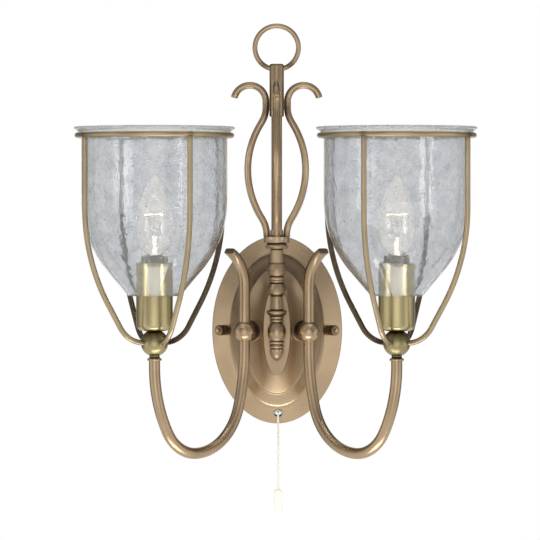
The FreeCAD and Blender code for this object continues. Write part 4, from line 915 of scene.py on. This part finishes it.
# The envelope and stem glow with painted light from the filament.
bulb_glass = new_material("bulb_glass", clear_glass, "FCFCFA", 0.0, 0.05)
lit_stem = new_material("lit_stem", clear_glass, "FCFCFA", 0.15, 0.5)
tungsten = new_material("glowing_tungsten", glowing_tungsten)
FILAMENT_RADIUS, FILAMENT_LEVEL, COIL_RADIUS, COIL_POINTS = 9.2, 109, 0.26, 900
STEM_TOP = 88.5
for side_name, axis_spot in lamp_axes.items():
    wall_share = np.minimum(1, envelope_outside[::-1, :1] / 4)
    inner = envelope_outside[::-1] + np.array([[-0.8, 0.0]]) * wall_share
    inner[:, 1] -= 0.9 * np.clip((inner[:, 1] - 120) / 26, 0, 1)
    inner[:, 0] = np.maximum(inner[:, 0], 0)
    envelope = lathe("bulb_envelope_" + side_name, np.vstack([envelope_outside, inner]), axis_spot,
            closed=True)
    dress(envelope, "bulb_" + side_name, "bulb_glass", bulb_glass, "bulb_glass_" + side_name)
    stem = lathe("bulb_stem_blown_" + side_name, stem_outside, axis_spot, segments=40)
    dress(stem, "bulb_" + side_name, "bulb_glass", lit_stem, "bulb_stem_" + side_name)
    sweep = np.radians(np.linspace(145, 395, COIL_POINTS))
    twist = np.linspace(0, 2 * np.pi * 60, COIL_POINTS)
    reach = FILAMENT_RADIUS + COIL_RADIUS * np.cos(twist)
    climb = FILAMENT_LEVEL + COIL_RADIUS * np.sin(twist)
    coil = np.stack([reach * np.cos(sweep), reach * np.sin(sweep), climb], axis=1)
    coil = coil * MM + axis_spot
    wire_curve = bpy.data.curves.new("filament_line", "CURVE")
    wire_curve.dimensions = "3D"
    line = wire_curve.splines.new("POLY")
    line.points.add(len(coil) - 1)
    line.points.foreach_set("co", np.hstack([coil, np.ones((len(coil), 1))]).ravel())
    wire_curve.bevel_depth = 0.13 * MM
    wire_curve.bevel_resolution = 1
    filament = in_scene("filament_coil_" + side_name, wire_curve)
    dress(filament, "bulb_" + side_name, "filament", tungsten, "bulb_filament_" + side_name)
    for number, degrees in enumerate((145, 270, 395)):
        angle = math.radians(degrees)
        across, up = FILAMENT_RADIUS * 0.83, FILAMENT_LEVEL - STEM_TOP
        spots, headings = route((FILAMENT_RADIUS * 0.17, STEM_TOP),
                math.degrees(math.atan2(across, up)), ((math.hypot(across, up), 0),), spacing=6)
        lead = bar("lead_wire_%s_%d" % (side_name, number + 1), spots, headings, axis_spot, angle,
                0.28, columns=10)
        dress(lead, "bulb_" + side_name, "filament", nickel)
    paint_nodes(nickel, "bulb_cap_" + side_name)
    paint_nodes(terminal_moulding, "bulb_contact_" + side_name)


# --- Glass shades ---
# Mouth-blown clear glass, 3 mm thick and full of small bubbles and ripples, cut flat at the foot
# and opened to a flared lip by which it rests in the ring.

def seeded_glass(add):
    """Blown grey-white glass with seeds: bubbles of about 1 mm, specks of 0.9 mm and a soft ripple.

    The tint stands for the loss in the thick, uneven wall, and is mottled by the specks. The seeds
    are tinted white or dark grey at random, as painted glints and painted shade. At the lip, where
    the rim attribute is high, the cut and crushed edge is milky.
    """
    where = add("TexCoord").outputs["Object"]
    ripple = add("TexNoise", {"Vector": where, "Scale": 1 / (11 * MM), "Detail": 2.0})
    seeds = add("TexVoronoi", {"Vector": where, "Scale": 1 / (3.0 * MM), "Randomness": 1.0})
    bead = add("MapRange", {"Value": seeds, "From Min": 0.08, "From Max": 0.22, "To Min": 1.0,
            "To Max": 0.0})
    speck = add("TexNoise", {"Vector": where, "Scale": 1 / (0.9 * MM), "Detail": 2.0})
    mottle = add("MapRange", {"Value": speck, "From Min": 0.3, "From Max": 0.7})
    wave = add("MapRange", {"Value": ripple, "From Min": 0.35, "From Max": 0.65})
    thick = add("Mix", {0: wave, 6: "BFC2C5", 7: "D6D8DA"}, data_type="RGBA")
    mottled = add("Mix", {0: mottle, 6: thick.outputs[2], 7: "EFF0F1"}, data_type="RGBA")
    # Painted glints and shade: the seeds are tinted white or dark grey at random.
    kind = add("Math", {0: seeds.outputs["Color"], 1: 0.5}, operation="GREATER_THAN")
    seed_glint_and_shade = add("Mix", {0: kind, 6: "50575A", 7: "FFFFFF"}, data_type="RGBA")
    body = add("Mix", {0: bead, 6: mottled.outputs[2], 7: seed_glint_and_shade.outputs[2]}, data_type="RGBA")
    rim = add("Attribute", attribute_name="rim").outputs["Fac"]
    tint = add("Mix", {0: rim, 6: body.outputs[2], 7: "F6F8F8"}, data_type="RGBA")
    milk = add("Math", {0: rim, 1: mottle}, operation="MULTIPLY")
    clear = add("MapRange", {"Value": milk, "To Min": 0.95, "To Max": 0.45})
    first = add("Bump", {"Height": ripple, "Strength": 0.4, "Distance": 0.8 * MM})
    second = add("Bump", {"Height": bead, "Strength": 0.6, "Distance": 0.25 * MM, "Normal": first})
    third = add("Bump", {"Height": speck, "Strength": 0.12, "Distance": 0.14 * MM,
            "Normal": second})
    return add("BsdfPrincipled", {"Base Color": tint.outputs[2], "Roughness": 0.03, "IOR": 1.5,
            "Transmission Weight": clear, "Normal": third})


def shade_profile():
    """Outside from the foot to the lip and back down the inside, in mm."""
    bend, lean, wall = 100.0, math.radians(40), 3.2
    radius, bend_level, foot_level, lip_level = 66.4, 122.0, 34.9, 178.8
    centre = (radius - bend, bend_level)

    def face(inset):
        """A cone at the lean, an arc that turns it upright, a straight side and a flared lip."""
        turn = np.linspace(-lean, 0, 30)
        reach = bend - inset
        curve = np.stack([centre[0] + reach * np.cos(turn), centre[1] + reach * np.sin(turn)],
                axis=1)
        knee = curve[0]
        foot = (knee[0] - (knee[1] - foot_level) * math.tan(lean), foot_level)
        flare = 6.0 + inset
        out = np.linspace(0, math.radians(58), 12)
        lip = np.stack([radius - inset + flare * (1 - np.cos(out)),
                lip_level + flare * np.sin(out)], axis=1)
        side = np.linspace(curve[-1], lip[0], 20)[1:-1]
        cone = np.linspace(foot, knee, 12)[1:-1]
        return np.vstack([[foot], cone, curve, side, lip])

    outer, inner = face(0.0), face(wall)
    edge = eased([outer[-1], (73.3, 186.6), (73.3, 188.5), (71.6, 188.5), inner[-1]], 0.7, 5)[1:-1]
    return np.vstack([outer, edge, inner[::-1]])


glass = new_material("seeded_glass", seeded_glass)
for side_name, axis_spot in lamp_axes.items():
    shade = lathe("blown_shade_" + side_name, shade_profile(), axis_spot, closed=True, segments=224)
    edge_share = np.interp(points_of(shade)[:, 2] / MM, (181.5, 185.5), (0.0, 1.0))
    shade.data.attributes.new("rim", "FLOAT", "POINT").data.foreach_set("value", edge_share)
    dress(shade, "shade_" + side_name, "shade_glass", glass, "glass_shade_" + side_name)


# --- Column ---
# Two turned brass members on a hidden rod stand clear of the plate on two studs. Members meet at
# grooves where the dark wash lies deepest.

UPPER_MEMBERS = ((5.9, 5.9, 6.4, 0), (12.1, 12.1, 5.6, 0), (9.2, 9.2, 2.2, 0),
        (10.0, 10.0, 3.3, 4.0), (5.7, 6.8, 14.5, 0), (7.7, 9.5, 5.3, 0), (9.0, 7.0, 5.7, 9.0),
        (6.6, 6.6, 1.1, 0), (7.6, 7.6, 2.6, 1.8), (7.3, 7.3, 2.3, 1.6))
LOWER_MEMBERS = ((6.5, 6.5, 1.3, 0), (8.0, 9.4, 5.1, 0), (9.0, 6.2, 5.75, 8.0), (5.5, 6.2, 14.2, 0),
        (8.8, 9.7, 1.0, 0), (9.75, 9.75, 1.1, 0), (9.2, 5.6, 3.1, 6.0), (6.4, 6.4, 2.1, 1.5),
        (5.7, 5.7, 1.2, 0), (6.1, 6.1, 1.8, 1.3), (5.3, 5.3, 1.5, 0), (5.9, 5.9, 17.0, 15.0),
        (6.8, 6.8, 2.2, 1.5), (6.1, 6.1, 1.5, 0), (6.5, 6.5, 2.3, 1.6), (5.8, 5.8, 1.4, 0),
        (6.8, 1.2, 10.4, 13.0))


def member_profile(members, top):
    """The side of a stack of members from the top down; a bulge is the radius of its side."""
    rows = []
    level = top
    for head, foot, height, bulge in members:
        start, stop = np.array([head, level]), np.array([foot, level - height])
        if bulge:
            chord = stop - start
            out = np.array([-chord[1], chord[0]]) / np.linalg.norm(chord)
            half_chord = np.linalg.norm(chord) / 2
            centre = (start + stop) / 2 - out * math.sqrt(bulge ** 2 - half_chord ** 2)
            first = math.atan2(*(start - centre)[::-1])
            last = math.atan2(*(stop - centre)[::-1])
            turn = np.linspace(first, last, 12)
            arc = np.stack([np.cos(turn), np.sin(turn)], axis=1)
            rows.extend(centre + bulge * arc)
        else:
            rows.extend(eased([start - (0.4, 0), start, stop, stop - (0.4, 0)], 0.35, 4)[1:-1])
        level -= height
    return rows, level


column_spot = axis_of("centre_tube")
COLUMN_TOP = 94.5
upper_rows, upper_foot = member_profile(UPPER_MEMBERS, COLUMN_TOP)
lower_rows, lower_foot = member_profile(LOWER_MEMBERS, upper_foot)
turned_brass("upper_member", "spindle_upper", [(5.0, COLUMN_TOP), *upper_rows, (3.0, upper_foot)],
        column_spot, plate_brass, segments=128, wash=0.05)
turned_brass("lower_member", "spindle_lower", [(3.0, upper_foot), *lower_rows, (0.0, lower_foot)],
        column_spot, plate_brass, segments=128, wash=0.05)
paint_nodes(plate_brass, "spindle_studs")


# --- Tube, sleeve and hanging ring ---
# A plain drawn brass tube rises from the column into a thicker sleeve, and a ring bent from brass
# wire passes through the sleeve.

turned_brass("column_tube", "centre_tube", [(5.0, 90.0), (5.0, 200.5)], column_spot, plate_brass,
        segments=64)
SLEEVE_EDGE = 248.0
sleeve = eased([(5.0, 200.0), (6.35, 200.0), (6.75, 200.4), (6.75, SLEEVE_EDGE), (5.6, 249.2),
        (0, 249.2)], 0.5)
# The sleeve's wash of 0.3 is painted shade between the scroll rods that press on it.
turned_brass("ring_sleeve", "tube_sleeve", sleeve, column_spot, plate_brass, segments=72, wash=0.3)
EYE_RADIUS, EYE_WIRE_RADIUS, EYE_LEVEL = 20.3, 2.3, 264.3
eye = ring_wire("ring_wire", EYE_RADIUS, EYE_WIRE_RADIUS, column_spot + (0, 0, EYE_LEVEL * MM),
        plane=(0, 2), turns=144)
eye_height = points_of(eye)[:, 2] / MM
# Darker where the ring enters the sleeve.
set_patina_and_shade(eye, 0.04 + 0.5 * np.exp(-((eye_height - SLEEVE_EDGE) / 3.0) ** 2))
dress(eye, "sconce", "plate_brass", plate_brass, "hanging_ring")


# --- Scrolls ---
# Three rods bent alike stand round the tube, to the left, to the right and in front. Each bows out,
# comes back to the sleeve, where it is brazed, and curls over outward.

SCROLL_FOOT = 88.1
SCROLL_BENDS = ((1.0, 0), (30.0, 32), (86.8, -32), (80.0, -30), (5.7, 0), (25.0, 30), (5.9, 0),
        (15.0, 164))
for side_name, compass in (("left", math.pi), ("right", 0.0), ("front", -math.pi / 2)):
    spots, headings = route((9.2, SCROLL_FOOT), 0, SCROLL_BENDS)
    scroll = bar("bent_scroll_" + side_name, spots, headings, column_spot, compass, 3.2, columns=36,
            dome=1.2)
    place = points_of(scroll)
    reach = np.hypot(place[:, 0] - column_spot[0], place[:, 1] - column_spot[1]) / MM
    height = place[:, 2] / MM
    # Darker where the rod meets the sleeve and at its foot on the column: partly the brazed joints,
    # partly painted shade between the parts.
    joint_and_shade = np.exp(-((reach - 9.0) / 4.0) ** 2) * np.exp(-((height - 206) / 9.0) ** 2)
    foot = np.exp(-((height - SCROLL_FOOT) / 4.0) ** 2)
    set_patina_and_shade(scroll, np.clip(0.06 + 0.7 * joint_and_shade + 0.4 * foot, 0, 0.85))
    dress(scroll, "sconce", "plate_brass", plate_brass, "scroll_" + side_name)


# --- Cord eyelet ---
# A rolled nickel eyelet lines the hole in the flange, so that the edge of the brass can't cut the
# cord. Its bore is painted near black, as painted shade for the dark hole behind it.

def rolled_nickel(add):
    """Nickel with faint rolling marks 1 mm apart, painted near black in the bore as painted shade,
    where its patina_and_shade attribute is high.
    """
    where = add("TexCoord").outputs["Object"]
    painted_bore_shade = add("Attribute", attribute_name="patina_and_shade").outputs["Fac"]
    marks = add("TexNoise", {"Vector": where, "Scale": 1 / (1 * MM), "Detail": 2.0})
    rough = add("MapRange", {"Value": marks, "To Min": 0.2, "To Max": 0.4})
    tone = add("Mix", {0: painted_bore_shade, 6: "B4B0A8", 7: "15130F"}, data_type="RGBA")
    return add("BsdfPrincipled", {"Base Color": tone.outputs[2], "Metallic": 1.0,
            "Roughness": rough})


eyelet_profile = eased([(3.15, -1.4), (EYELET_HOLE, -1.4), (EYELET_HOLE, 0.1), (5.2, 0.1),
        (5.2, 0.4), (4.7, 0.8), (3.45, 0.8), (3.15, 0.5)], 0.3, 5)
eyelet = lathe("rolled_eyelet", eyelet_profile, eyelet_spot, eyelet_out, segments=64, closed=True)
from_axis = points_of(eyelet) - np.array(eyelet_spot)
from_axis -= (from_axis @ np.array(eyelet_out))[:, None] * np.array(eyelet_out)
# Painted shade: the bore is painted near black.
set_patina_and_shade(eyelet, np.interp(np.linalg.norm(from_axis, axis=1) / MM, (3.3, 4.0), (0.95, 0.0)))
dress(eyelet, "sconce", "eyelet_metal", new_material("rolled_nickel", rolled_nickel), "cord_eyelet")
